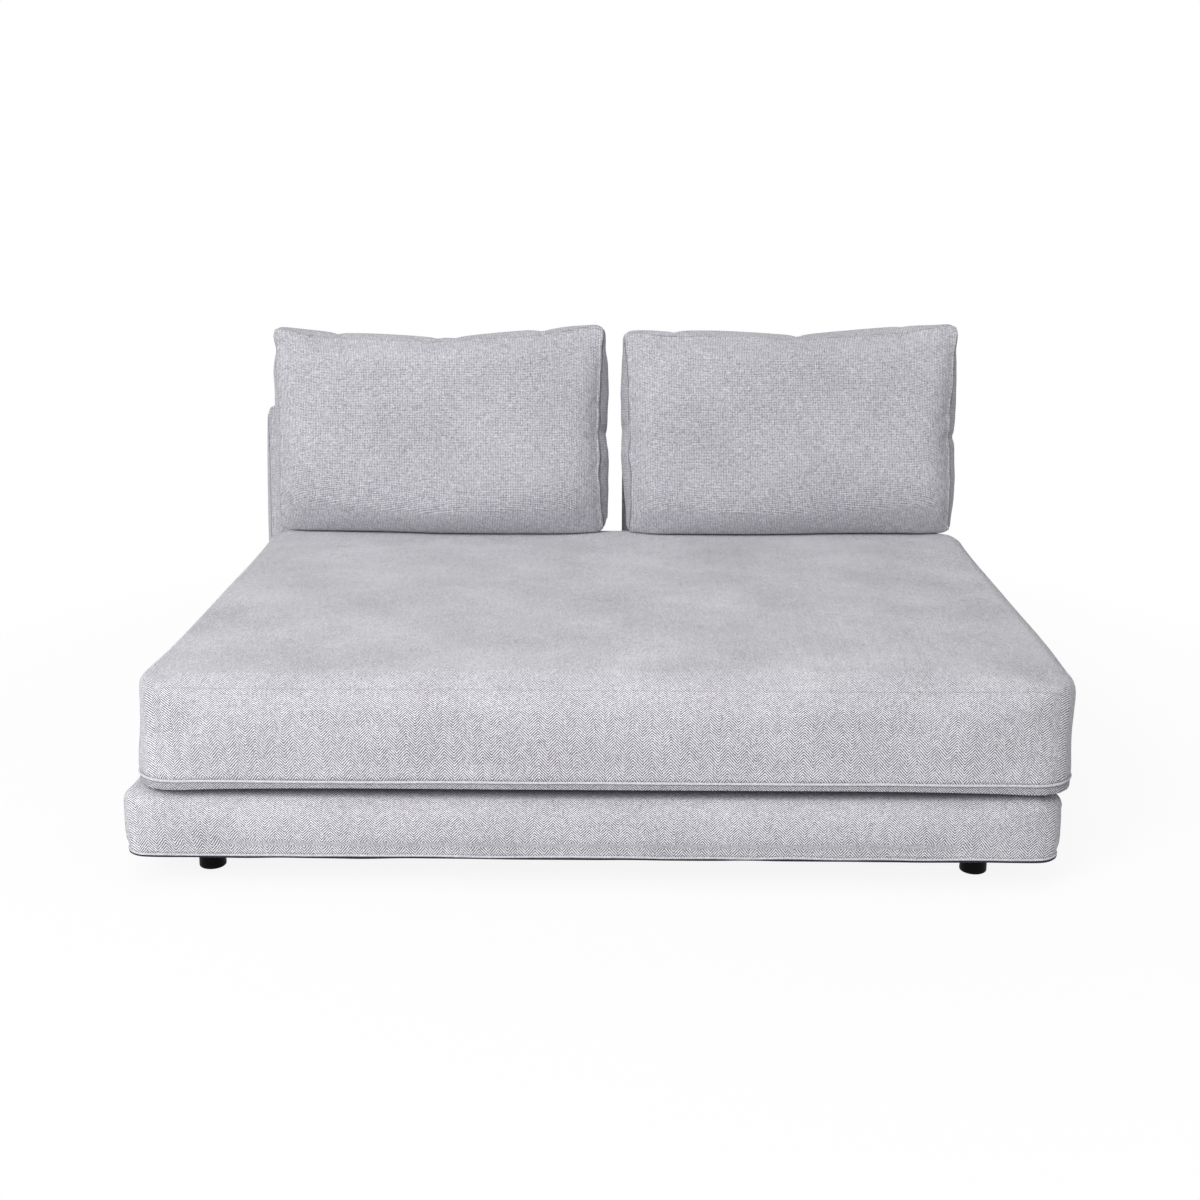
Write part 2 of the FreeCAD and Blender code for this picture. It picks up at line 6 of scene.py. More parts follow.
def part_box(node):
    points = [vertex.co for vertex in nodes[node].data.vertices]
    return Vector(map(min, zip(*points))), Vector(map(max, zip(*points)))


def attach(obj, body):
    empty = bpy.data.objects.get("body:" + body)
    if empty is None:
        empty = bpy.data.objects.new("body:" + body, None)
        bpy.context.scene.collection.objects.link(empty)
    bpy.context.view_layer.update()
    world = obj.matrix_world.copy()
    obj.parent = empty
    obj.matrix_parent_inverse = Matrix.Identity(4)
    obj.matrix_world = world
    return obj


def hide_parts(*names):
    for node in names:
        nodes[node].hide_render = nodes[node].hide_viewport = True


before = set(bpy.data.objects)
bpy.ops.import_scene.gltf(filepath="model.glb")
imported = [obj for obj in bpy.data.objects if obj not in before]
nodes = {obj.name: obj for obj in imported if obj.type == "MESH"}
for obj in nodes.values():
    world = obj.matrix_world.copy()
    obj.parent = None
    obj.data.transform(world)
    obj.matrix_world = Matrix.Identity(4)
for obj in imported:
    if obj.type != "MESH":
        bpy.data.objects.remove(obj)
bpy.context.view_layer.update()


# Feet. Four short round feet moulded in black plastic, each screwed up into its corner plate on a
# threaded stud. The skin is matt with a fine moulded grain, and it is rubbed paler at the base.
foot_black = (0.0045, 0.0042, 0.0048, 1)
foot_scuffed = (0.016, 0.0155, 0.016, 1)
foot_wear_height = 0.006
foot_cloud_per_metre = 60
foot_grain_per_metre = 900
foot_grain_depth = 0.0004
foot_rough = (0.38, 0.58)
foot_shine = 0.07


def set_all(made, settings):
    for name, value in settings.items():
        setattr(made, name, value)


def put(tree, kind, feeds=None, **settings):
    made = tree.nodes.new(kind)
    set_all(made, settings)
    for name, value in (feeds or {}).items():
        if isinstance(value, bpy.types.NodeSocket):
            tree.links.new(value, made.inputs[name])
        else:
            made.inputs[name].default_value = value
    return made


def work(tree, operation, first, second=0.0, third=0.0):
    return put(tree, "ShaderNodeMath", {0: first, 1: second, 2: third}, operation=operation).outputs[0]


def spread(tree, value, low, high, start=0.0, end=1.0):
    fed = {"Value": value, "From Min": start, "From Max": end, "To Min": low, "To Max": high}
    return put(tree, "ShaderNodeMapRange", fed).outputs[0]


def blend(tree, share, first, second):
    return put(tree, "ShaderNodeMix", {0: share, 6: first, 7: second}, data_type="RGBA").outputs[2]


def own_place(tree):
    return put(tree, "ShaderNodeTexCoord").outputs["Object"]


def speckle(tree, place, scale, detail):
    return put(tree, "ShaderNodeTexNoise", {"Vector": place, "Scale": scale, "Detail": detail}).outputs["Fac"]


def new_finish(name):
    finish = bpy.data.materials.new(name)
    finish.use_nodes = True
    tree = finish.node_tree
    return finish, tree, tree.nodes["Principled BSDF"]


def coat(tree, skin, colour, rough):
    tree.links.new(colour, skin.inputs["Base Color"])
    tree.links.new(rough, skin.inputs["Roughness"])


def emboss(tree, skin, height, strength, depth):
    fed = {"Height": height, "Strength": strength, "Distance": depth}
    tree.links.new(put(tree, "ShaderNodeBump", fed).outputs[0], skin.inputs["Normal"])


def dress(finish, *names):
    for name in names:
        for held in nodes[name].material_slots:
            held.material = finish


moulded_black, tree, skin = new_finish("moulded_black")
place = own_place(tree)
cloudy = speckle(tree, place, foot_cloud_per_metre, 4)
height = put(tree, "ShaderNodeSeparateXYZ", {"Vector": place}).outputs["Z"]
worn = work(tree, "MULTIPLY", spread(tree, height, 0.0, 1.0, foot_wear_height, 0.0), cloudy)
coat(tree, skin, blend(tree, worn, foot_black, foot_scuffed), spread(tree, cloudy, *foot_rough))
emboss(tree, skin, speckle(tree, place, foot_grain_per_metre, 3), 0.25, foot_grain_depth)
skin.inputs["Specular IOR Level"].default_value = foot_shine
dress(moulded_black, "foot_front_left", "foot_front_right", "foot_rear_left", "foot_rear_right")


# Fixings. Threaded studs, tee nuts, sleeve screws and backrest bolts of bright zinc-plated steel.
# They are driven into the timber and hidden by the cover once the daybed is put together.
zinc_bright = (0.52, 0.53, 0.55, 1)
zinc_dull = (0.36, 0.37, 0.40, 1)
zinc_spangles_per_metre = 420
zinc_smears_per_metre = 150
zinc_rough = (0.24, 0.46)

zinc_plate, tree, skin = new_finish("zinc_plate")
place = own_place(tree)
spangle = put(tree, "ShaderNodeTexVoronoi", {"Vector": place, "Scale": zinc_spangles_per_metre})
smear = speckle(tree, place, zinc_smears_per_metre, 5)
share = work(tree, "MULTIPLY", spangle.outputs["Distance"], smear)
coat(tree, skin, blend(tree, share, zinc_bright, zinc_dull), spread(tree, smear, *zinc_rough))
skin.inputs["Metallic"].default_value = 1.0
dress(
    zinc_plate, "foot_studs", "foot_tee_nuts", "sleeve_screws",
    "backrest_left_bolts", "backrest_right_bolts",
)


# Timber frame. Four pine rails, the joists between them, glued corner blocks and the wedges behind
# the post sleeves. Sawn and planed boards, so the grain runs along each board's own length.
pine_pale = (0.58, 0.41, 0.235, 1)
pine_dark = (0.37, 0.215, 0.095, 1)
sawn_rough = (0.55, 0.78)
sawn_depth = 0.0006
ring_part = 0.65
fibre_part = 0.35


def bands(tree, place, scale, direction, distortion, detail=2.0, detail_scale=1.0):
    fed = {
        "Vector": place, "Scale": scale, "Distortion": distortion, "Detail": detail,
        "Detail Scale": detail_scale,
    }
    return put(tree, "ShaderNodeTexWave", fed, wave_type="BANDS", bands_direction=direction).outputs["Fac"]


def new_group(name, takes, makes):
    group = bpy.data.node_groups.new(name, "ShaderNodeTree")
    for way, sockets in (("INPUT", takes), ("OUTPUT", makes)):
        for socket, kind in sockets.items():
            group.interface.new_socket(socket, in_out=way, socket_type="NodeSocket" + kind)
    return group, group.nodes.new("NodeGroupInput").outputs, group.nodes.new("NodeGroupOutput").inputs


softwood, given, results = new_group(
    "softwood_grain", {"Board": "Vector", "Pale": "Color", "Dark": "Color"},
    {"Colour": "Color", "Height": "Float"},
)
waver = speckle(softwood, given["Board"], 3.0, 3)
rings = bands(softwood, given["Board"], 9.0, "Z", 5.0, 2.5, 1.4)
fibre = work(softwood, "MULTIPLY", speckle(softwood, given["Board"], 60.0, 4), fibre_part)
ring_share = work(softwood, "MULTIPLY_ADD", rings, ring_part, fibre)
ring_share = work(softwood, "MULTIPLY", ring_share, work(softwood, "ADD", waver, 0.4))
softwood.links.new(blend(softwood, ring_share, given["Pale"], given["Dark"]), results["Colour"])
softwood.links.new(ring_share, results["Height"])


def sawn_finish(name, stretch, pale, dark):
    finish, tree, skin = new_finish(name)
    board = put(tree, "ShaderNodeMapping", {"Vector": own_place(tree), "Scale": stretch}).outputs[0]
    fed = {"Board": board, "Pale": pale, "Dark": dark}
    grown = put(tree, "ShaderNodeGroup", fed, node_tree=softwood).outputs
    coat(tree, skin, grown["Colour"], spread(tree, grown["Height"], *sawn_rough))
    emboss(tree, skin, grown["Height"], 0.3, sawn_depth)
    return finish


pine_across = sawn_finish("pine_across", (0.35, 6.0, 6.0), pine_pale, pine_dark)
pine_along = sawn_finish("pine_along", (6.0, 0.35, 6.0), pine_pale, pine_dark)
pine_upright = sawn_finish("pine_upright", (6.0, 6.0, 0.35), pine_pale, pine_dark)
dress(pine_across, "rail_front", "rail_rear", "backrest_left_rails", "backrest_right_rails")
dress(pine_along, "rail_left", "rail_right", "joists", "sleeve_wedges")
dress(pine_upright, "corner_blocks", "backrest_left_stiles", "backrest_right_stiles")


# Plywood. The foot plates and the thin panels that close the backrest frames are birch plywood,
# glued and stapled, with a pale face grain and thin dark glue lines.
birch_pale = (0.66, 0.51, 0.34, 1)
birch_dark = (0.47, 0.325, 0.19, 1)
birch_ply = sawn_finish("birch_ply", (0.6, 5.0, 22.0), birch_pale, birch_dark)
dress(birch_ply, "foot_plates", "backrest_left_panel", "backrest_right_panel")


# Backrest posts and sleeves. Flat bars and folded sleeves of steel with black stove enamel. The bars
# are rubbed a little brighter along their length, where they slide in the sleeves.
enamel_black = (0.010, 0.010, 0.011, 1)
enamel_rubbed = (0.055, 0.054, 0.053, 1)
enamel_rough = (0.34, 0.55)
enamel_peel_per_metre = 700
enamel_peel_depth = 0.0003
scratch_stretch = (260.0, 260.0, 14.0)

black_enamel, tree, skin = new_finish("black_enamel")
place = own_place(tree)
drawn = put(tree, "ShaderNodeMapping", {"Vector": place, "Scale": scratch_stretch}).outputs[0]
fed = {"Vector": drawn, "Scale": 1.0, "Detail": 6, "Roughness": 0.7}
scratches = put(tree, "ShaderNodeTexNoise", fed).outputs["Fac"]
rubbed = spread(tree, scratches, 0.0, 1.0, 0.56, 0.74)
coat(tree, skin, blend(tree, rubbed, enamel_black, enamel_rubbed), spread(tree, scratches, *enamel_rough))
emboss(tree, skin, speckle(tree, place, enamel_peel_per_metre, 2), 0.2, enamel_peel_depth)
dress(black_enamel, "post_sleeves", "backrest_left_posts", "backrest_right_posts")


# Webbing. Elastic upholstery straps stapled to the rails and interlaced over the joists. They are
# woven of ribbed rubber-cored yarn with darker lines along each strap.
strap_pale = (0.40, 0.37, 0.31, 1)
strap_dark = (0.085, 0.075, 0.07, 1)
strap_rib_share = 0.35
strap_rib_depth = 0.0006
strap_rough = (0.7, 0.95)


def strap_finish(name, ribs, lines):
    finish, tree, skin = new_finish(name)
    place = own_place(tree)
    rib = bands(tree, place, 95.0, ribs, 0.6, 1.0)
    line = spread(tree, bands(tree, place, 11.0, lines, 0.1), 0.0, 1.0, 0.86, 0.93)
    plain = blend(tree, work(tree, "MULTIPLY", rib, strap_rib_share), strap_pale, strap_dark)
    fluff = speckle(tree, place, 350, 3)
    coat(tree, skin, blend(tree, line, plain, strap_dark), spread(tree, fluff, *strap_rough))
    emboss(tree, skin, rib, 0.5, strap_rib_depth)
    return finish


dress(strap_finish("strap_lengthwise", "X", "Y"), "webbing_lengthwise")
dress(strap_finish("strap_crosswise", "Y", "X"), "webbing_crosswise")


# Dust lining. Black spun-bonded sheet stapled under the platform frame, with the pressed dot pattern
# that such sheet has.
spunbond_black = (0.006, 0.006, 0.007, 1)
spunbond_pale = (0.022, 0.022, 0.025, 1)
spunbond_dots_per_metre = 420
spunbond_dot_depth = 0.0003
spunbond_rough = (0.75, 0.95)

spunbond, tree, skin = new_finish("spunbond")
place = own_place(tree)
fed = {"Vector": place, "Scale": spunbond_dots_per_metre, "Randomness": 0.15}
dots = put(tree, "ShaderNodeTexVoronoi", fed, feature="F1").outputs["Distance"]
felted = speckle(tree, place, 160, 6)
share = work(tree, "MULTIPLY", dots, felted)
coat(tree, skin, blend(tree, share, spunbond_black, spunbond_pale), spread(tree, felted, *spunbond_rough))
emboss(tree, skin, dots, 0.4, spunbond_dot_depth)
dress(spunbond, "platform_lining")


# Platform upholstery. One fitted cover pulled over felt and side foam and stapled under the frame: grey
# chenille, with painted shade on the deck under the seat. It swells between its corners, and slots let the
# posts through.
platform_low, platform_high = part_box("platform_cover")
platform_corner = 0.046
platform_shoulder = 0.008
platform_start_low = 0.002
platform_start_drop = 0.004
platform_voxel = 0.012
platform_swell = 0.0075
platform_rim = 0.07
platform_ripple = 0.0022
platform_tuck = 0.002
platform_side_tuck = 0.004
platform_tuck_height = 0.024
platform_rim_drop = 0.0025
platform_rim_width = 0.040
platform_rim_ease = 0.014
platform_side_drop = 0.009
platform_shoulder_zone = 0.03
platform_wall = 0.002
platform_weld = 0.00002
hem_zone = 0.004
clearance = 0.0004
seat_rest_low, seat_rest_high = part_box("seat_cover_underside")
seat_rest = seat_rest_low.z - clearance
seat_rest_corner = 0.064
deck_border = (0.008, 0.018)
slot_room = 0.0022
slot_front = 0.008
slot_rear = 0.010
slot_depth = 0.012

lilac_light = (0.800, 0.790, 0.836, 1)
lilac_dark = (0.250, 0.243, 0.272, 1)
twill_light = (0.905, 0.894, 0.946, 1)
twill_dark = (0.160, 0.155, 0.174, 1)
# Painted shade: the colour the chenille is darkened towards in seam grooves, round the seat cord, along the
# seat's front fold and on the deck under the seat.
painted_shade_colour = (0.085, 0.083, 0.100, 1)
seam_depth = 0.85
# Painted shade: depth and width of the faint dark line along the seat's front fold.
crease_depth = 0.2
crease_width = 0.0028
brushed_contrast = 1.1
brushed_nap = 3.0
thread_depth = 0.0016

stray_per_metre = 55.0
stray_reach = 0.0018
column_threads = 3.4
fleck_size = 0.0023
slub_thin = 1.4
slub_long = 0.2
weave, given, results = new_group(
    "chenille_weave",
    {"Cloth": "Vector", "Herringbone": "Float", "Pitch": "Float", "Contrast": "Float", "Nap": "Float",
     "Light": "Color", "Dark": "Color"},
    {"Colour": "Color", "Height": "Float", "Rough": "Float"},
)
cloth = given["Cloth"]
pitch = given["Pitch"]


def reckon(operation, *values):
    return work(weave, operation, *values)


def off_middle(value):
    return reckon("SUBTRACT", value, 0.5)


def by_weave(plain, twill):
    return reckon("MULTIPLY_ADD", given["Herringbone"], twill - plain, plain)


def flat_vector(x, y):
    return put(weave, "ShaderNodeCombineXYZ", {"X": x, "Y": y}).outputs[0]


# The threads wander a little from the straight.
fed = {"Vector": cloth, "Scale": stray_per_metre, "Detail": 2}
stray = put(weave, "ShaderNodeTexNoise", fed).outputs["Color"]
stray_way = put(weave, "ShaderNodeSeparateColor", {"Color": stray}).outputs
flat_place = put(weave, "ShaderNodeSeparateXYZ", {"Vector": cloth}).outputs
across = reckon("MULTIPLY_ADD", off_middle(stray_way[0]), stray_reach, flat_place["X"])
lengthwise = reckon("MULTIPLY_ADD", off_middle(stray_way[1]), stray_reach, flat_place["Y"])

# Broken herringbone: slanting ribs that turn back at every column, each column starting at its own height.
column = reckon("MULTIPLY", pitch, column_threads)
slant = reckon("ADD", reckon("PINGPONG", across, column), lengthwise)
column_number = reckon("FLOOR", reckon("DIVIDE", across, column))
column_start = put(weave, "ShaderNodeTexWhiteNoise", {"W": column_number}, noise_dimensions="1D")
rib_count = reckon("ADD", reckon("DIVIDE", slant, pitch), column_start.outputs["Value"])
rib = reckon("MULTIPLY_ADD", reckon("SINE", reckon("MULTIPLY", rib_count, math.tau)), 0.5, 0.5)

# Plain weave: yarns over and under each other.
warp_count = reckon("DIVIDE", across, pitch)
weft_count = reckon("DIVIDE", lengthwise, pitch)
warp, weft = (reckon("SINE", reckon("MULTIPLY", count, math.pi)) for count in (warp_count, weft_count))
crossing = reckon("MULTIPLY", reckon("ABSOLUTE", warp), reckon("ABSOLUTE", weft))
fed = {0: given["Herringbone"], 2: crossing, 3: rib}
thread = put(weave, "ShaderNodeMix", fed, data_type="FLOAT").outputs[0]

# Flecks: every few millimetres the yarn takes on its own tone.
fleck_cell = (reckon("FLOOR", reckon("DIVIDE", way, fleck_size)) for way in (across, lengthwise))
fed = {"Vector": flat_vector(*fleck_cell)}
fleck = put(weave, "ShaderNodeTexWhiteNoise", fed, noise_dimensions="2D").outputs["Value"]


# Slubs: thicker lengths of yarn, upright and level. The twill has fewer level ones.
def slub_noise(per_warp, per_weft):
    drawn = flat_vector(reckon("MULTIPLY", warp_count, per_warp), reckon("MULTIPLY", weft_count, per_weft))
    fed = {"Vector": drawn, "Scale": 1.0, "Detail": 3}
    return off_middle(put(weave, "ShaderNodeTexNoise", fed, noise_dimensions="2D").outputs["Fac"])


upright_slub = slub_noise(slub_thin, slub_long)
slub = reckon("MULTIPLY_ADD", slub_noise(slub_long, slub_thin), by_weave(1.0, 0.35), upright_slub)

# The tone: threads, flecks and slubs, and the clouds of the nap.
fed = {"Vector": cloth, "Scale": 5.0, "Detail": 5, "Roughness": 0.58}
cloud = put(weave, "ShaderNodeTexNoise", fed).outputs["Fac"]
nap = reckon("MULTIPLY", off_middle(cloud), given["Nap"])
tone = reckon("MULTIPLY", off_middle(thread), by_weave(0.85, 0.95))
tone = reckon("MULTIPLY_ADD", off_middle(fleck), by_weave(0.55, 0.40), tone)
tone = reckon("MULTIPLY_ADD", slub, by_weave(0.68, 0.36), tone)
tone = reckon("MULTIPLY_ADD", tone, given["Contrast"], 0.5)
tone = put(weave, "ShaderNodeMath", {0: tone, 1: nap}, operation="ADD", use_clamp=True).outputs[0]
weave.links.new(blend(weave, tone, given["Dark"], given["Light"]), results["Colour"])
weave.links.new(reckon("MULTIPLY_ADD", slub, 0.6, thread), results["Height"])
weave.links.new(reckon("MULTIPLY_ADD", tone, -0.12, 0.94), results["Rough"])


def chenille(name, herringbone, spacing, contrast, nap, light=lilac_light, dark=lilac_dark, crease=None):
    finish, tree, skin = new_finish(name)
    flat = put(tree, "ShaderNodeUVMap", uv_map="cloth").outputs[0]
    brushed, shade_mark = (
        put(tree, "ShaderNodeAttribute", attribute_name=mark, attribute_type="GEOMETRY").outputs["Fac"]
        for mark in ("brushed", "painted_shade")
    )
    fed = {
        "Cloth": flat, "Herringbone": herringbone, "Pitch": spacing, "Light": light, "Dark": dark,
        "Contrast": work(tree, "MULTIPLY_ADD", brushed, brushed_contrast * contrast, contrast),
        "Nap": work(tree, "MULTIPLY_ADD", brushed, brushed_nap * nap, nap),
    }
    woven = put(tree, "ShaderNodeGroup", fed, node_tree=weave).outputs
    # Painted shade: the seam mark and the crease line darken the cloth where shade falls.
    shade = work(tree, "MULTIPLY", shade_mark, seam_depth)
    if crease is not None:
        length = put(tree, "ShaderNodeSeparateXYZ", {"Vector": flat}).outputs["Y"]
        off = work(tree, "ABSOLUTE", work(tree, "SUBTRACT", length, crease))
        shade = work(tree, "MAXIMUM", shade, spread(tree, off, crease_depth, 0.0, 0.0, crease_width))
    coat(tree, skin, blend(tree, shade, woven["Colour"], painted_shade_colour), woven["Rough"])
    emboss(tree, skin, woven["Height"], 0.55, thread_depth)
    skin.inputs["Specular IOR Level"].default_value = 0.2
    skin.inputs["Sheen Weight"].default_value = 0.25
    skin.inputs["Sheen Roughness"].default_value = 0.45
    return finish


def select_only(piece):
    bpy.ops.object.select_all(action="DESELECT")
    piece.select_set(True)
    bpy.context.view_layer.objects.active = piece


def add_block(name, low, high):
    bpy.ops.object.select_all(action="DESELECT")
    bpy.ops.mesh.primitive_cube_add(size=1, location=(Vector(low) + Vector(high)) / 2)
    piece = bpy.context.object
    piece.name = name
    piece.data.name = name
    piece.scale = Vector(high) - Vector(low)
    bpy.ops.object.transform_apply(location=True, rotation=True, scale=True)
    return piece


def edit_marked(piece, kind, marked, act):
    select_only(piece)
    bpy.ops.object.mode_set(mode="EDIT")
    bpy.ops.mesh.select_mode(type=kind)
    bpy.ops.mesh.select_all(action="DESELECT")
    bpy.ops.object.mode_set(mode="OBJECT")
    for part in piece.data.edges if kind == "EDGE" else piece.data.polygons:
        part.select = marked(part)
    bpy.ops.object.mode_set(mode="EDIT")
    act()
    bpy.ops.object.mode_set(mode="OBJECT")


def round_edges(piece, radius, steps, wanted):
    edit_marked(
        piece, "EDGE", lambda edge: wanted(*(piece.data.vertices[end].co for end in edge.vertices)),
        lambda: bpy.ops.mesh.bevel(offset=radius, segments=steps, affect="EDGES", clamp_overlap=True),
    )


def upright_edge(a, b):
    return abs(a.z - b.z) > 0.02 and (a.xy - b.xy).length < 0.001


def apply_all(piece):
    select_only(piece)
    for held in list(piece.modifiers):
        bpy.ops.object.modifier_apply(modifier=held.name)


def modify(piece, kind, **settings):
    set_all(piece.modifiers.new(kind.lower(), kind), settings)
    apply_all(piece)


def fine_mesh(piece, voxel):
    modify(piece, "REMESH", mode="VOXEL", voxel_size=voxel)


stuffing = {
    "quality": 6, "mass": 0.3, "tension_stiffness": 40, "compression_stiffness": 40, "shear_stiffness": 16,
    "bending_stiffness": 0.6, "use_pressure": True, "uniform_pressure_force": 4.0,
}


def swell(piece, steps, most, held="", pressed=""):
    start = [point.co.copy() for point in piece.data.vertices]
    stuffed = piece.modifiers.new("stuffing", "CLOTH")
    set_all(stuffed.settings, stuffing)
    stuffed.settings.effector_weights.gravity = 0
    stuffed.collision_settings.use_collision = False
    stuffed.collision_settings.use_self_collision = False
    stuffed.settings.vertex_group_mass = held
    stuffed.settings.vertex_group_pressure = pressed
    stuffed.point_cache.frame_start = 1
    stuffed.point_cache.frame_end = steps
    for step in range(1, steps + 1):
        bpy.context.scene.frame_set(step)
    apply_all(piece)
    bpy.context.scene.frame_set(1)
    for point, before in zip(piece.data.vertices, start):
        moved = point.co - before
        if moved.length > most:
            point.co = before + moved * (most / moved.length)


def ease(value, low, high):
    share = min(1.0, max(0.0, (value - low) / (high - low)))
    return share * share * (3 - 2 * share)


def bump(value, width):
    return math.exp(-((value / width) ** 2))


def sway(place, per_metre, level):
    return noise.noise(Vector((place.x * per_metre, place.y * per_metre, level)))


def mark_points(piece, name, values):
    piece.data.attributes.new(name, "FLOAT", "POINT").data.foreach_set("value", values)


# The cloth lies over the front, the top and the rear in one length, and turns round the sides.
def lay_cloth(piece, lean=0.0, shift=(0.0, 0.0)):
    upright = Matrix.Rotation(lean, 3, "X")
    points = [upright @ point.co for point in piece.data.vertices]
    front = min(point.y for point in points)
    top = max(point.z for point in points)
    flat = piece.data.uv_layers.new(name="cloth")
    for face in piece.data.polygons:
        facing = upright @ face.normal
        for corner in face.loop_indices:
            place = points[piece.data.loops[corner].vertex_index]
            if abs(facing.x) > max(abs(facing.y), abs(facing.z)):
                turned = place.y - front if facing.x > 0 else front - place.y
                spot = (place.x + turned, place.z + front)
            elif facing.y > 0.15 and facing.z > -0.35:
                spot = (place.x, place.y - place.z + 2 * top)
            elif facing.z < -0.35:
                spot = (place.x, place.z - place.y + 2 * front)
            else:
                spot = (place.x, place.y + place.z)
            flat.data[corner].uv = (spot[0] + shift[0], spot[1] + shift[1])


def way_out(place, low, high, rim):
    out = Vector((
        place.x - min(max(place.x, low.x + rim), high.x - rim),
        place.y - min(max(place.y, low.y + rim), high.y - rim), 0,
    ))
    cornered = min(1.0, 2 * abs(out.x * out.y) / max(1e-9, out.x * out.x + out.y * out.y))
    return (out.normalized() if out.length > 0.4 * rim else None), cornered


def past_outline(place, low, high, radius):
    over_x = abs(place.x - (low.x + high.x) / 2) - (high.x - low.x) / 2 + radius
    over_y = abs(place.y - (low.y + high.y) / 2) - (high.y - low.y) / 2 + radius
    return math.hypot(max(over_x, 0), max(over_y, 0)) + min(max(over_x, over_y), 0) - radius


def past_platform(place):
    return past_outline(place, platform_low, platform_high, platform_corner)


def cover(piece, finish):
    piece.data.materials.append(finish)
    piece.data.shade_smooth()


def thicken(piece, thickness):
    modify(piece, "SOLIDIFY", thickness=thickness, offset=-1)


def carve(piece, low, high):
    knife = add_block("carver", low, high)
    modify(piece, "BOOLEAN", object=knife, operation="DIFFERENCE", solver="EXACT")
    bpy.data.objects.remove(knife)


platform = add_block(
    "platform_upholstery", platform_low - Vector((0, 0, platform_start_low)),
    platform_high - Vector((0, 0, platform_start_drop)),
)
round_edges(platform, platform_corner, 8, upright_edge)
round_edges(platform, platform_shoulder, 5, lambda a, b: min(a.z, b.z) > platform_high.z - 0.006)
fine_mesh(platform, platform_voxel)
hem_hold = platform.vertex_groups.new(name="hem_hold")
hem_top = platform_low.z + hem_zone
hem_hold.add([p.index for p in platform.data.vertices if p.co.z < hem_top], 1.0, "REPLACE")
swell(platform, 5, platform_swell, "hem_hold")

shoulder_foot = platform_high.z - platform_shoulder_zone
for point in platform.data.vertices:
    place = point.co
    outward, cornered = way_out(place, platform_low, platform_high, platform_rim)
    if outward and place.z < platform_high.z - 0.012:
        ripple = platform_ripple * sway(place, 5, place.z * 9)
        place += outward * (ripple * ease(place.z, hem_top, platform_low.z + 0.05))
        past = past_platform(place)
        if past > -0.014:
            side_share = outward.x * outward.x
            tuck_top = platform_low.z + platform_tuck_height - 0.004 * side_share
            low_down = 1 - ease(place.z, hem_top, tuck_top)
            place += outward * low_down * (-platform_tuck - platform_side_tuck * side_share - past)
    place.z = min(place.z, seat_rest)
    if place.z > shoulder_foot:
        past = past_platform(place)
        shouldered = ease(place.z, shoulder_foot, platform_high.z - 0.008)
        place.z -= platform_rim_drop * ease(past, -platform_rim_width, platform_rim_ease - platform_rim_width)
        if outward:
            place.z -= platform_side_drop * shouldered * outward.x ** 2 * ease(past, -0.03, 0.004)

edit_marked(
    platform, "FACE", lambda face: face.normal.z < -0.7 and face.center.z < hem_top,
    lambda: bpy.ops.mesh.delete(type="FACE"),
)
modify(platform, "WELD", merge_threshold=platform_weld)
thicken(platform, platform_wall)


# Painted shade: the deck is darkened inside the seat's outline, where the seat shades it.
def deck_shade(place):
    if place.z <= platform_high.z - 0.02:
        return 0.0
    past_seat = past_outline(place, seat_rest_low, seat_rest_high, seat_rest_corner)
    return ease(-max(past_platform(place), past_seat), *deck_border)


mark_points(platform, "painted_shade", [deck_shade(point.co) for point in platform.data.vertices])
for side in ("left", "right"):
    posts = [point.co for point in nodes[f"backrest_{side}_posts"].data.vertices]
    middle = sum(p.x for p in posts) / len(posts)
    for bar in ([p for p in posts if p.x < middle], [p for p in posts if p.x > middle]):
        low = Vector([min(p[axis] for p in bar) for axis in range(3)])
        high = Vector([max(p[axis] for p in bar) for axis in range(3)])
        front = low.y + (high.y - low.y) / (high.z - low.z) * (platform_high.z - low.z)
        carve(
            platform, Vector((low.x - slot_room, front - slot_front, platform_high.z - slot_depth)),
            Vector((high.x + slot_room, front + slot_rear, platform_high.z + 0.03)),
        )

lay_cloth(platform)
chenille_platform = chenille("chenille_platform", 1.0, 0.0046, 1.8, 0.7, twill_light, twill_dark)
cover(platform, chenille_platform)
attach(platform, "platform")
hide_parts("platform_cover", "platform_pad", "platform_side_foam")


# Hem. A cord of the same chenille sewn round the platform's lower edge, and under it the turned edge, bound
# with a woven tape and stapled to the rails. The tape is near-black: partly the black lining edge, partly
# painted shade for the shadow under the cord. Both follow the hand-pulled hem a little unevenly.
hem_low, hem_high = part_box("platform_piping")
hem_radius = 0.0022
hem_sunk = 0.0004
hem_below = 0.0006
hem_wave = 0.0014
cord_spacing = 0.012
# Painted highlight: the cords' colours are paler than the panels' chenille, for the light that the round
# cords catch.
cord_highlit_pale = (0.88, 0.87, 0.91, 1)
cord_highlit_dark = (0.42, 0.41, 0.45, 1)
under_low, under_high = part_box("platform_hem")
turn_in = 0.0415
tape_drop = 0.0014
tape_proud = 0.0018
tape_thread_depth = 0.0004
# Painted shade: the tape's near-black tones stand for the shadow under the hem cord.
hem_shadow_dark = (0.012, 0.012, 0.020, 1)
hem_shadow_pale = (0.045, 0.045, 0.062, 1)


def rounded_path(low, high, radius, spacing):
    path = []
    for turn, (x, y) in enumerate((
        (high.x - radius, low.y + radius), (high.x - radius, high.y - radius),
        (low.x + radius, high.y - radius), (low.x + radius, low.y + radius),
    )):
        for step in range(13):
            angle = (turn - 1) * math.pi / 2 + step * math.pi / 24
            path.append(Vector((x + radius * math.cos(angle), y + radius * math.sin(angle), 0)))
    even = []
    for a, b in zip(path, path[1:] + path[:1]):
        parts = max(1, round((b - a).length / spacing))
        even += [a.lerp(b, part / parts) for part in range(parts)]
    return even


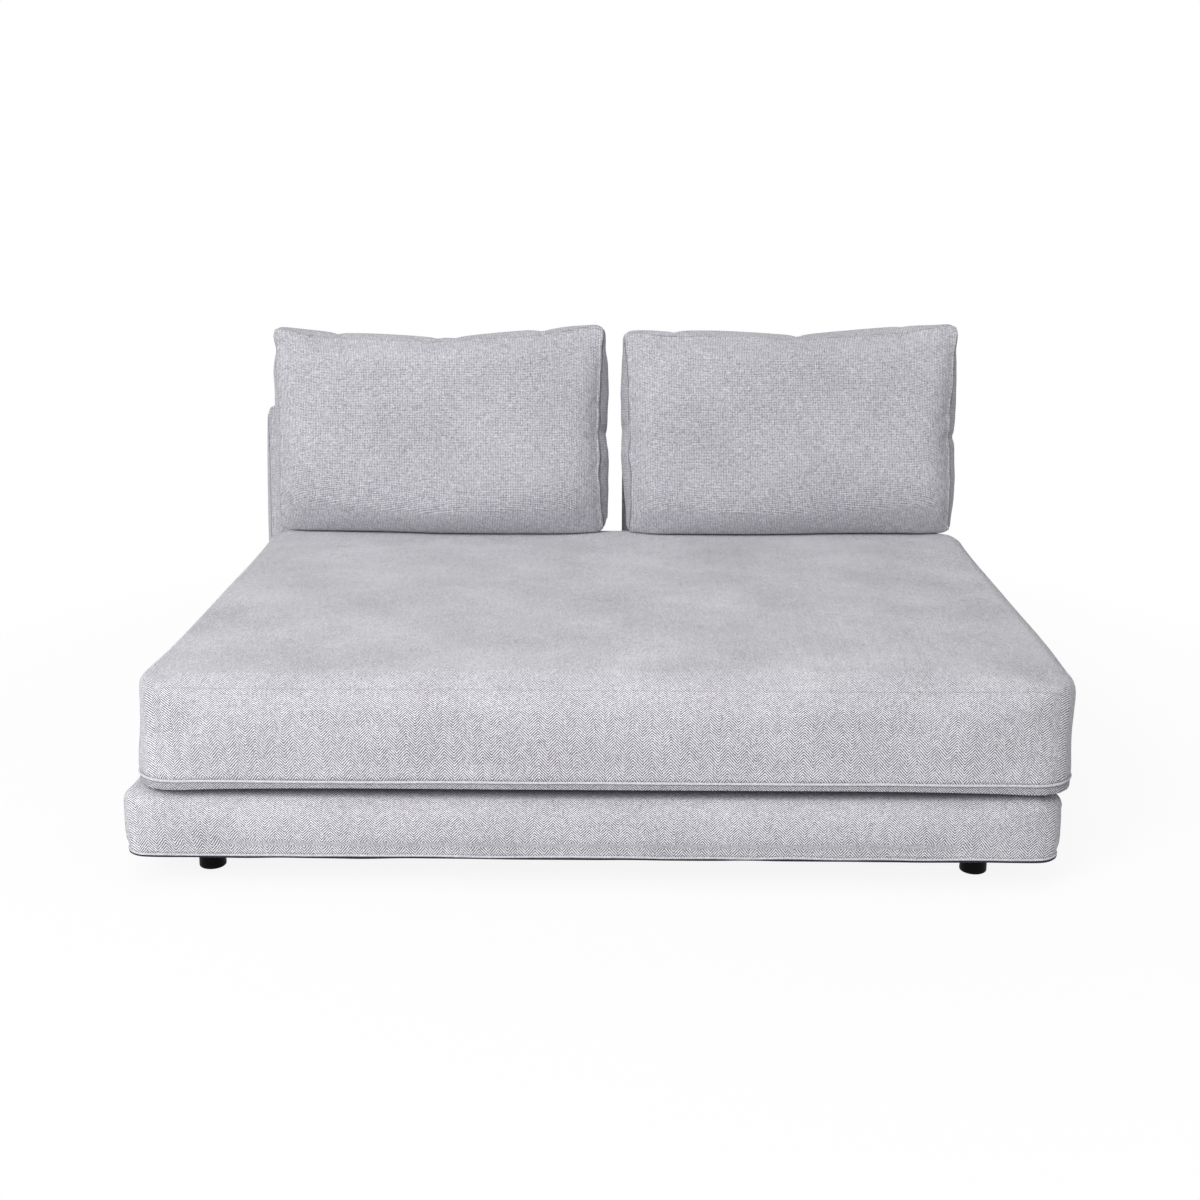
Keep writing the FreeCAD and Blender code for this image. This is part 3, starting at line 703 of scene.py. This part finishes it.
def follow(piece, path, height, proud):
    low = Vector((min(p.x for p in path), min(p.y for p in path), 0))
    high = Vector((max(p.x for p in path), max(p.y for p in path), 0))
    found = []
    for spot in path:
        outward = way_out(spot, low, high, platform_rim)[0]
        level = Vector((spot.x, spot.y, height))
        hit, place, facing, face = piece.ray_cast(level + outward * 0.06, -outward)
        found.append((place if hit else level) + outward * proud)
    return found


def sewn_cord(name, points, radius):
    line = bpy.data.curves.new(name, "CURVE")
    line.dimensions = "3D"
    line.bevel_depth = radius
    line.bevel_resolution = 3
    spline = line.splines.new("POLY")
    spline.points.add(len(points) - 1)
    for held, point in zip(spline.points, points):
        held.co = (*point, 1)
    spline.use_cyclic_u = True
    cord = bpy.data.objects.new(name, line)
    bpy.context.scene.collection.objects.link(cord)
    select_only(cord)
    bpy.ops.object.convert(target="MESH")
    lay_cloth(cord)
    cord.data.materials.clear()
    cover(cord, chenille_cord)
    return cord


hem_outline = rounded_path(hem_low, hem_high, platform_corner, cord_spacing)
hem_path = follow(platform, hem_outline, hem_top, -hem_sunk)
for spot in hem_path:
    spot.z = hem_high.z - hem_radius - hem_below + hem_wave * sway(spot, 9, 3.7)
# The cord finish uses the paler colours, a painted highlight.
chenille_cord = chenille("chenille_cord", 0.0, 0.0034, 0.55, 0.15, cord_highlit_pale, cord_highlit_dark)
hem_cord = sewn_cord("hem_cord", hem_path, hem_radius)
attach(hem_cord, "platform")
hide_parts("platform_piping")

outer = []
inner = []
for spot in hem_path:
    outward = way_out(spot, platform_low, platform_high, platform_rim)[0]
    level = Vector((spot.x, spot.y, under_high.z))
    outer.append(level + outward * tape_proud)
    inner.append(level - outward * turn_in)
count = len(outer)
strip = bpy.data.meshes.new("turned_hem")
strip.from_pydata(
    outer + inner, [],
    [(n, (n + 1) % count, count + (n + 1) % count, count + n) for n in range(count)],
)
hem_strip = bpy.data.objects.new("turned_hem", strip)
bpy.context.scene.collection.objects.link(hem_strip)
thicken(hem_strip, under_high.z - under_low.z)
for point in hem_strip.data.vertices:
    if point.co.z < (under_low.z + under_high.z) / 2:
        rim = ease(past_platform(point.co), -0.02, -0.006)
        point.co.z -= rim * tape_drop * (1 + sway(point.co, 14, 8.1))
lay_cloth(hem_strip)
# Painted shade: the hem tape's finish, near-black for the shadow under the hem cord.
hem_shadow_tape, tree, skin = new_finish("hem_shadow_tape")
flat = put(tree, "ShaderNodeUVMap", uv_map="cloth").outputs[0]
fed = {
    "Cloth": flat, "Herringbone": 0.0, "Pitch": 0.0016, "Contrast": 0.8, "Nap": 0.2,
    "Light": hem_shadow_pale, "Dark": hem_shadow_dark,
}
woven = put(tree, "ShaderNodeGroup", fed, node_tree=weave).outputs
coat(tree, skin, woven["Colour"], woven["Rough"])
emboss(tree, skin, woven["Height"], 0.4, tape_thread_depth)
skin.inputs["Specular IOR Level"].default_value = 0.15
hem_strip.data.materials.append(hem_shadow_tape)
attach(hem_strip, "platform")
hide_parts("platform_hem")


# Seat cushion. A foam block with a softer topper in a loose chenille cover: one panel over the top and
# sides, a cord round the lower edge, and a narrow band under it that turns in to the underside.
seat_low = Vector(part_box("seat_cover_underside")[0])
seat_low.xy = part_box("seat_cover_top")[0].xy
seat_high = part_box("seat_cover_top")[1]
seat_middle = (seat_low + seat_high) / 2
cord_low, cord_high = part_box("seat_piping")
cord_radius = (cord_high.z - cord_low.z) / 2
cord_height = (cord_high.z + cord_low.z) / 2
cord_wave = 0.0014
cord_pinch = 0.0028
cord_shade_width = 0.0024
seat_zip_low, seat_zip_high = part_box("seat_zip")
seat_zip_height = (seat_zip_low.z + seat_zip_high.z) / 2
seat_zip_channel = 0.0045
cushion_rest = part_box("cushion_left_front_panel")[0].z
cushion_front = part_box("cushion_left_front_panel")[0].y
seat_corner = 0.066
seat_fold = 0.014
seat_underfold = 0.006
seat_start_out = 0.001
seat_start_drop = 0.004
seat_voxel = 0.013
seat_swell = 0.012
seat_rim = 0.09
seat_ripple = 0.0016
seat_uneven = 0.0012
seat_lift = 0.0014
seat_crown = 0.008
seat_tuck = 0.001
seat_corner_tuck = 0.001
seat_corner_in = 0.004
seat_corner_drop = 0.005
seat_spread = {"left": -0.006, "right": 0.016}
seat_foot = {"left": 0.005, "right": 0.006}
seat_front_shift = 0.004
seat_front_out = 0.004
seat_rear_out = 0.003
seat_rear_drop = 0.017
seat_crease_drop = 0.009
seat_cloth_shift = (0.21, 0.13)
zip_room = 0.0012


def past_seat(place):
    return past_outline(place, seat_low, seat_high, seat_corner)


def smooth_finer(piece):
    modify(piece, "SUBSURF", levels=1, render_levels=1)


def split_faces(piece, chosen):
    edit_marked(
        piece, "FACE", lambda face: face.index in chosen, lambda: bpy.ops.mesh.subdivide(number_cuts=1)
    )


seat_start = Vector((seat_start_out, seat_start_out, 0))
seat = add_block(
    "seat_cushion", seat_low - seat_start, seat_high + seat_start - Vector((0, 0, seat_start_drop))
)
round_edges(seat, seat_corner, 8, upright_edge)
round_edges(seat, seat_fold, 4, lambda a, b: min(a.z, b.z) > seat_high.z - seat_start_drop - 0.002)
round_edges(seat, seat_underfold, 3, lambda a, b: max(a.z, b.z) < seat_low.z + 0.002)
fine_mesh(seat, seat_voxel)
filled = seat.vertex_groups.new(name="filled")
for point in seat.data.vertices:
    filled.add([point.index], 0.0 if point.co.z < seat_low.z + 0.004 else 1.0, "REPLACE")
swell(seat, 5, seat_swell, pressed="filled")
smooth_finer(seat)
split_faces(seat, {
    face.index for face in seat.data.polygons
    if face.center.z < cord_height + 0.02 and past_seat(face.center) > -0.02
})
for point in seat.data.vertices:
    place = point.co
    outward, cornered = way_out(place, seat_low, seat_high, seat_rim)
    if outward:
        ripple = seat_ripple * sway(place, 6, place.z * 10)
        place += outward * ripple * ease(place.z, cord_height, cord_height + 0.05)
        past = past_seat(place)
        if past > -0.012:
            low_down = 1 - ease(place.z, cord_height + 0.004, cord_height + 0.085)
            under_cord = ease(cord_height - place.z, -0.002, cord_height - seat_low.z)
            wanted = seat_foot["right"] * ease(place.x, seat_high.x - 0.15, seat_high.x)
            wanted += seat_foot["left"] * ease(-place.x, -seat_low.x - 0.15, -seat_low.x)
            wanted += seat_front_out * max(0.0, -outward.y) ** 2
            wanted -= seat_tuck * under_cord + seat_corner_tuck * cornered * low_down
            wanted -= cord_pinch * bump(place.z - cord_height, 0.006)
            place += outward * low_down * (wanted - past)
        high_up = ease(place.z, seat_high.z - 0.05, seat_high.z) * cornered
        if past > -0.05:
            place += outward * (-seat_corner_in * high_up)
            place.z -= seat_corner_drop * high_up
    leaning = ease(place.z, cord_height + 0.03, seat_high.z - 0.03)
    deep = ease(place.y, seat_low.y + 0.03, seat_low.y + 0.30)
    spread_out = seat_spread["right" if place.x > seat_middle.x else "left"]
    side_share = (place.x - seat_middle.x) / (seat_high.x - seat_middle.x)
    place.x += math.copysign(leaning * deep * abs(side_share) ** 6, side_share) * spread_out
    place.x += seat_front_shift * (1 - deep) * leaning
    crowned = seat_crown * max(0.0, 1 - side_share ** 4)
    crowned *= 1 - ease(place.y, cushion_front - 0.19, cushion_front - 0.03)
    ceiling = cushion_rest - clearance + crowned + min(0.0, seat_uneven * sway(place, 4, 0.3))
    place.z = min(place.z, ceiling)
    lifted = seat_lift * ease(past_seat(place), -0.03, -0.004) * (1 + sway(place, 5, 6.2))
    place.z = max(place.z, seat_low.z + lifted)
    channel = seat_zip_channel * bump(place.z - seat_zip_height, 0.02)
    place.y = min(place.y, seat_high.y + seat_rear_out - channel)
    if place.z > seat_low.z + 0.1:
        place.z -= seat_rear_drop * ease(place.y, seat_high.y - 0.05, seat_high.y)


# Painted shade: thin dark lines in the grooves above and below the seat cord, and the narrow band under the
# cord darkened where it turns under the seat.
def cord_shade(place):
    if past_seat(place) <= -0.02:
        return 0.0
    off = abs(place.z - cord_height) - cord_radius
    under = ease(cord_height - place.z, cord_radius, cord_radius + 0.004)
    depth = 0.55 if place.z < cord_height else 0.2
    return max(0.4 * under, depth * bump(off, cord_shade_width))


mark_points(seat, "painted_shade", [cord_shade(point.co) for point in seat.data.vertices])
mark_points(seat, "brushed", [ease(point.normal.z, 0.5, 0.95) for point in seat.data.vertices])
carve(
    seat, seat_zip_low - Vector((0.001, 0.0002, zip_room)), seat_zip_high + Vector((0.001, 0.05, zip_room))
)
lay_cloth(seat, shift=seat_cloth_shift)
# Painted shade: a faint dark line drawn along the seat's front fold, at this height on the cloth.
seat_crease = seat_low.y + seat_high.z - seat_crease_drop + seat_cloth_shift[1]
chenille_seat = chenille("chenille_seat", 1.0, 0.0046, 1.8, 0.7, twill_light, twill_dark, seat_crease)
cover(seat, chenille_seat)
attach(seat, "seat")
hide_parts("seat_cover_top", "seat_cover_band", "seat_cover_underside", "seat_core", "seat_topper")

cord_outline = rounded_path(seat_low, seat_high, seat_corner, cord_spacing)
cord_path = follow(seat, cord_outline, cord_height, cord_radius)
for spot in cord_path:
    spot.z = cord_height + cord_wave * sway(spot, 7, 1.3)
seat_cord = sewn_cord("seat_cord", cord_path, cord_radius)
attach(seat_cord, "seat")
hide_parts("seat_piping")


# Zips. Grey nylon coil zips set in the rear of the seat cover and under each back cushion, each with a
# small plated slider.
zip_tape = (0.30, 0.295, 0.315, 1)
zip_coil = (0.46, 0.45, 0.47, 1)
zip_rough = (0.45, 0.7)
zip_tooth_depth = 0.0008
slider_nickel = (0.56, 0.55, 0.53, 1)
slider_dull = (0.38, 0.37, 0.36, 1)
slider_rough = (0.2, 0.42)

nylon_coil, tree, skin = new_finish("nylon_coil")
place = own_place(tree)
teeth = bands(tree, place, 110.0, "X", 0.2)
fluff = speckle(tree, place, 500, 2)
coat(tree, skin, blend(tree, teeth, zip_tape, zip_coil), spread(tree, fluff, *zip_rough))
emboss(tree, skin, teeth, 0.7, zip_tooth_depth)
dress(nylon_coil, "seat_zip", "cushion_left_zip", "cushion_right_zip")

plated, tree, skin = new_finish("plated_slider")
rubbing = speckle(tree, own_place(tree), 600, 4)
coat(tree, skin, blend(tree, rubbing, slider_nickel, slider_dull), spread(tree, rubbing, *slider_rough))
skin.inputs["Metallic"].default_value = 1.0
dress(plated, "seat_zip_slider", "cushion_left_zip_slider", "cushion_right_zip_slider")


# Backrests. Two upholstered boards that stand on the platform on steel posts: foam round a timber frame,
# in a cover of front and rear panels joined by a strip along the edges.
rake = math.radians(9)
lean_foot = Vector((0, 0.4949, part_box("backrest_left_cover")[0].z))
backrest_tall = 0.4745
backrest_front = 0.006
backrest_rear = 0.1094
backrest_corner = 0.030
backrest_edge = 0.011
backrest_voxel = 0.010
backrest_swell = 0.009
backrest_start_out = 0.003
backrest_outer_end = 0.006
backrest_inner_end = 0.012
backrest_cloth_shift = (0.05, 0.31)
seam_groove = 0.0042
seam_width = 0.0032
seam_reach = 0.03
seam_split = 0.014


def lean_back(piece):
    select_only(piece)
    piece.rotation_euler = (-rake, 0, 0)
    piece.location = lean_foot
    bpy.ops.object.transform_apply(location=True, rotation=True, scale=True)


# Each point keeps the place where it was cut, so that the seams are found again after the stuffing.
def keep_cut_places(piece):
    cut = piece.data.attributes.new("cut_place", "FLOAT_VECTOR", "POINT")
    for number, point in enumerate(piece.data.vertices):
        cut.data[number].vector = point.co


def past_seam(cut, low, high):
    edge = min(cut.x - low.x, high.x - cut.x, high.z - cut.z)
    nearest = 1.0
    for deep in (cut.y - low.y, high.y - cut.y):
        if deep < seam_reach and edge < seam_reach and abs(deep - edge) < abs(nearest):
            nearest = deep - edge
    return nearest


def sew_seams(piece, low, high):
    cut = piece.data.attributes["cut_place"].data
    close = [abs(past_seam(entry.vector, low, high)) < seam_split for entry in cut]
    split_faces(piece, {face.index for face in piece.data.polygons if any(close[v] for v in face.vertices)})
    cut = [entry.vector.copy() for entry in piece.data.attributes["cut_place"].data]
    normals = [point.normal.copy() for point in piece.data.vertices]
    # Painted shade: a dark line along each seam groove, full on the upright seams and weaker on the top ones.
    shade = []
    for point, normal, sewn_at in zip(piece.data.vertices, normals, cut):
        past = past_seam(sewn_at, low, high)
        off = past - 0.8 * seam_width
        ridge = 0.8 * seam_groove * bump(past + 1.6 * seam_width, 1.5 * seam_width)
        point.co += normal * (ridge - seam_groove * bump(off, seam_width))
        upright = min(sewn_at.x - low.x, high.x - sewn_at.x) < high.z - sewn_at.z
        shade.append((1.0 if upright else 0.3) * bump(off, 1.4 * seam_width))
    mark_points(piece, "painted_shade", shade)


def make_backrest(side):
    cover_low, cover_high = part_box(f"backrest_{side}_cover")
    left_end = -backrest_outer_end if side == "left" else backrest_inner_end
    right_end = -backrest_inner_end if side == "left" else backrest_outer_end
    low = Vector((cover_low.x - backrest_start_out + left_end, backrest_front, 0.0))
    high = Vector((cover_high.x + right_end, backrest_rear + 0.001, backrest_tall))
    high += Vector((backrest_start_out, 0, backrest_start_out))
    board = add_block(f"backrest_{side}", low, high)
    for point in board.data.vertices:
        if point.co.z < 0.01:
            point.co.z = point.co.y * math.tan(rake) + clearance
    round_edges(board, backrest_corner, 5, lambda a, b: abs(a.y - b.y) > 0.03 and min(a.z, b.z) > 0.1)
    round_edges(board, backrest_edge, 3, lambda a, b: abs(a.y - b.y) < 0.001 and max(a.z, b.z) > 0.03)
    fine_mesh(board, backrest_voxel)
    keep_cut_places(board)
    swell(board, 5, backrest_swell)
    smooth_finer(board)
    sew_seams(board, low, high)
    cut = board.data.attributes["cut_place"].data
    for number, point in enumerate(board.data.vertices):
        sewn_at = cut[number].vector
        inside = min(sewn_at.x - low.x, high.x - sewn_at.x, high.z - sewn_at.z)
        if sewn_at.y > high.y - 0.008 and inside > 0.016:
            point.co.y = max(point.co.y, backrest_rear)
        point.co.y = max(point.co.y, clearance)
        point.co.z = max(point.co.z, point.co.y * math.tan(rake) + 0.0003)
    lean_back(board)
    lay_cloth(board, lean=rake, shift=backrest_cloth_shift)
    cover(board, chenille_backrest)
    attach(board, f"backrest_{side}")
    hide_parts(f"backrest_{side}_cover", f"backrest_{side}_foam")


chenille_backrest = chenille("chenille_backrest", 0.0, 0.0038, 0.74, 0.3)
for side in ("left", "right"):
    make_backrest(side)


# Back cushions. Two loose cushions of fibre fill in chenille cases: a front and a rear panel sewn to a
# strip all round. The filling crowns the panels, draws in the edges between the corners and sinks on
# the seat.
cushion_top = 0.650
cushion_front_start = -0.134
cushion_rear_start = -0.026
cushion_rear = 0.0006
cushion_corner = 0.030
cushion_edge = 0.011
cushion_voxel = 0.008
cushion_swell = 0.038
cushion_sink = 0.034
cushion_turn_under = 0.16
cushion_recede = 0.042
cushion_rest_fold = 0.008
cushion_foot_corner = 0.026
cushion_belly = 0.022
cushion_belly_height = 0.085
cushion_belly_width = 0.075
cushion_belly_hold = 0.7
cushion_pucker = 0.0026
cushion_cloth_shift = (0.4, 0.17)
ear_width = 0.042
ear_front = 0.02
ear_depth = 0.05
neck_drop = 0.052
neck_width = 0.02
gusset_press = 0.25


# The height of a line drawn through the given pairs, smoothed by taking seven places close together.
def along(pairs, share):
    total = 0.0
    for step in range(-3, 4):
        here = min(1.0, max(0.0, share + step * 0.018))
        for (a, low), (b, high) in zip(pairs, pairs[1:]):
            if a <= here <= b:
                total += low + (high - low) * (here - a) / (b - a)
                break
    return total / 7


def make_cushion(side, ends, drawn_in, droop, bulge, ears):
    panel_low, panel_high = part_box(f"cushion_{side}_front_panel")
    foot = (panel_low.z - lean_foot.z) / math.cos(rake)
    low = Vector((panel_low.x + ends[0], cushion_front_start, foot - cushion_sink))
    high = Vector((panel_high.x + ends[1], cushion_rear_start, cushion_top))
    cushion = add_block(f"back_cushion_{side}", low, high)
    for point in cushion.data.vertices:
        if point.co.z < 0.3:
            point.co.z += point.co.y * math.tan(rake)
    round_edges(cushion, cushion_corner, 4, lambda a, b: abs(a.y - b.y) > 0.03)
    round_edges(cushion, cushion_edge, 2, lambda a, b: abs(a.y - b.y) < 0.001)
    fine_mesh(cushion, cushion_voxel)
    keep_cut_places(cushion)
    filled = cushion.vertex_groups.new(name="filled")
    for point in cushion.data.vertices:
        edge = min(point.co.x - low.x, high.x - point.co.x, point.co.z - low.z, high.z - point.co.z)
        filled.add([point.index], 1.0 if edge > 0.012 else gusset_press, "REPLACE")
        share = (point.co.x - low.x) / (high.x - low.x)
        point.co.z -= along(droop, share) * ease(point.co.z, foot + 0.12, cushion_top)
    swell(cushion, 10, cushion_swell, pressed="filled")
    smooth_finer(cushion)
    sew_seams(cushion, low, high)
    for point in cushion.data.vertices:
        spot = point.co
        share = (spot.x - low.x) / (high.x - low.x)
        near_front = bump(spot.y - cushion_front_start - ear_front, ear_depth)
        for end, way, (out, up, neck) in ((low.x, -1, ears[0]), (high.x, 1, ears[1])):
            gap = math.hypot(spot.x - end, spot.z - high.z)
            near_end = 1 - ease(abs(spot.x - end), 0.012, 0.07)
            necked = neck * near_end * bump(high.z - neck_drop - spot.z, neck_width)
            spot += Vector((way * out, 0, up)) * near_front * bump(gap, ear_width)
            spot.x -= way * necked
        for end, pull, way in ((low.x, drawn_in[0], 1), (high.x, drawn_in[1], -1)):
            near_end = 1 - ease(abs(spot.x - end), 0.012, 0.07)
            pucker = cushion_pucker * noise.noise(Vector((end * 7, spot.y * 9, spot.z * 21)))
            spot.x += way * near_end * (pucker + pull * (1 - ease(spot.z, foot, foot + 0.22)))
        spot.y = min(spot.y, -cushion_rear)
        stands = spot.z - foot - spot.y * math.tan(rake)
        if stands < 0.25:
            full = along(bulge, share)
            belly = cushion_belly * full * bump(stands - cushion_belly_height, cushion_belly_width)
            low_share = min(1.0, max(0.0, 1 - stands / cushion_turn_under))
            recede = cushion_recede * (1 - cushion_belly_hold * full) * low_share ** 2
            spot.y += (recede - belly) * ease(-spot.y, 0.05, 0.12)
        past_corner = cushion_foot_corner - min(spot.x - low.x, high.x - spot.x)
        past_corner = min(cushion_foot_corner, max(0.0, past_corner))
        rounded = cushion_foot_corner - math.sqrt(cushion_foot_corner ** 2 - past_corner ** 2)
        stands = spot.z - foot - rounded - spot.y * math.tan(rake)
        if stands < cushion_rest_fold:
            pressed = cushion_rest_fold * math.exp((stands - cushion_rest_fold) / cushion_rest_fold)
            spot.z += pressed - stands
        spot.z += clearance
    lean_back(cushion)
    zip_low, zip_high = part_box(f"cushion_{side}_zip")
    carve(
        cushion, zip_low - Vector((0.001, zip_room, 0.03)), zip_high + Vector((0.001, zip_room, 0.0002))
    )
    lay_cloth(cushion, lean=rake, shift=cushion_cloth_shift)
    cover(cushion, chenille_cushion)
    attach(cushion, f"cushion_{side}")
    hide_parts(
        f"cushion_{side}_fill", f"cushion_{side}_front_panel", f"cushion_{side}_gusset",
        f"cushion_{side}_rear_panel",
    )


# Each cushion sits in its own way: how far its ends stand out and are drawn in at the foot, how its top
# edge droops and its foot bulges from end to end, and how far each ear stands out, rises and is necked.
chenille_cushion = chenille("chenille_cushion", 0.0, 0.0038, 0.82, 0.36)
make_cushion(
    "left", ends=(0.004, 0.0), drawn_in=(0.0, 0.0),
    droop=(
        (0.0, 0.0), (0.08, 0.008), (0.15, 0.013), (0.30, 0.016), (0.45, 0.018), (0.51, 0.021), (0.57, 0.016),
        (0.72, 0.011), (0.86, 0.004), (0.94, -0.006), (1.0, -0.003),
    ),
    bulge=(
        (0.0, 0.0), (0.15, 0.05), (0.35, 0.30), (0.48, 0.75), (0.6, 0.9), (0.85, 0.9), (0.95, 0.6),
        (1.0, 0.2),
    ),
    ears=((0.003, 0.0066, 0.006), (0.002, 0.0047, 0.004)),
)
make_cushion(
    "right", ends=(0.012, 0.006), drawn_in=(0.011, 0.0),
    droop=(
        (0.0, 0.006), (0.10, 0.011), (0.25, 0.009), (0.40, 0.008), (0.52, 0.014), (0.60, 0.009),
        (0.76, 0.004), (0.88, -0.001), (0.94, -0.007), (1.0, -0.004),
    ),
    bulge=(
        (0.0, 0.3), (0.07, 0.8), (0.35, 0.9), (0.5, 0.7), (0.65, 0.3), (0.8, 0.25), (0.93, 0.4), (1.0, 0.1),
    ),
    ears=((0.008, 0.003, 0.002), (0.0023, 0.0066, 0.003)),
)


# Floor, light and camera. A plain white floor that keeps a faint shadow, even soft light with a large lamp
# high on the left, and a camera at standing height straight in front.
floor_grey = (0.80, 0.80, 0.80, 1)
floor_pale = (0.82, 0.82, 0.82, 1)
floor_glow = (0.90, 1.0)
floor_glow_reach = (0.9, 2.0)
plain_white = (1, 1, 1, 1)
fill_level = 0.36
camera_place = Vector((0.0569, platform_low.y - 2.4929, 1.1969))
camera_down = math.radians(15.376)
camera_turn = math.radians(0.932)


def seen_plainly(tree):
    seen = put(tree, "ShaderNodeLightPath").outputs
    shown = work(tree, "MAXIMUM", seen["Is Camera Ray"], seen["Is Glossy Ray"])
    return work(tree, "MAXIMUM", shown, seen["Is Transmission Ray"])


def add_lamp(name, place, aim, size, power):
    lamp = bpy.data.lights.new(name, "AREA")
    lamp.shape = "SQUARE"
    lamp.size = size
    lamp.energy = power
    held = bpy.data.objects.new(name, lamp)
    bpy.context.scene.collection.objects.link(held)
    held.location = place
    held.rotation_euler = (Vector(aim) - Vector(place)).to_track_quat("-Z", "Y").to_euler()


bpy.ops.object.select_all(action="DESELECT")
bpy.ops.mesh.primitive_plane_add(size=30, location=(0, 0, 0))
floor = bpy.context.object
floor.name = "floor"
floor_white, tree, skin = new_finish("floor_white")
place = own_place(tree)
patchy = blend(tree, speckle(tree, place, 1.5, 2), floor_grey, floor_pale)
tree.links.new(patchy, skin.inputs["Base Color"])
skin.inputs["Roughness"].default_value = 0.9
glow = put(tree, "ShaderNodeEmission", {"Color": plain_white, "Strength": 1.0})
far = put(tree, "ShaderNodeVectorMath", {0: place}, operation="LENGTH").outputs["Value"]
faded = work(tree, "MULTIPLY", seen_plainly(tree), spread(tree, far, *floor_glow, *floor_glow_reach))
lift = put(tree, "ShaderNodeMixShader", {0: faded, 1: skin.outputs[0], 2: glow.outputs[0]})
tree.links.new(lift.outputs[0], tree.nodes["Material Output"].inputs["Surface"])
floor.data.materials.append(floor_white)

studio = bpy.data.worlds.new("studio")
bpy.context.scene.world = studio
studio.use_nodes = True
tree = studio.node_tree
fill = tree.nodes["Background"]
fill.inputs["Color"].default_value = plain_white
fill.inputs["Strength"].default_value = fill_level
white = put(tree, "ShaderNodeBackground", {"Color": plain_white, "Strength": 1.0})
both = put(tree, "ShaderNodeMixShader", {0: seen_plainly(tree), 1: fill.outputs[0], 2: white.outputs[0]})
tree.links.new(both.outputs[0], tree.nodes["World Output"].inputs["Surface"])

add_lamp("key_lamp", (-2.8, -4.3, 3.6), (0, 0, 0.4), 2.6, 242)
add_lamp("top_lamp", (0.3, -1.8, 4.4), (0, 0, 0.3), 3.2, 62)

lens = bpy.data.cameras.new("camera")
lens.lens = 48
lens.sensor_width = 36
camera = bpy.data.objects.new("camera", lens)
bpy.context.scene.collection.objects.link(camera)
camera.location = camera_place
camera.rotation_euler = (math.pi / 2 - camera_down, 0, camera_turn)
bpy.context.scene.camera = camera
bpy.context.scene.view_settings.view_transform = "Standard"
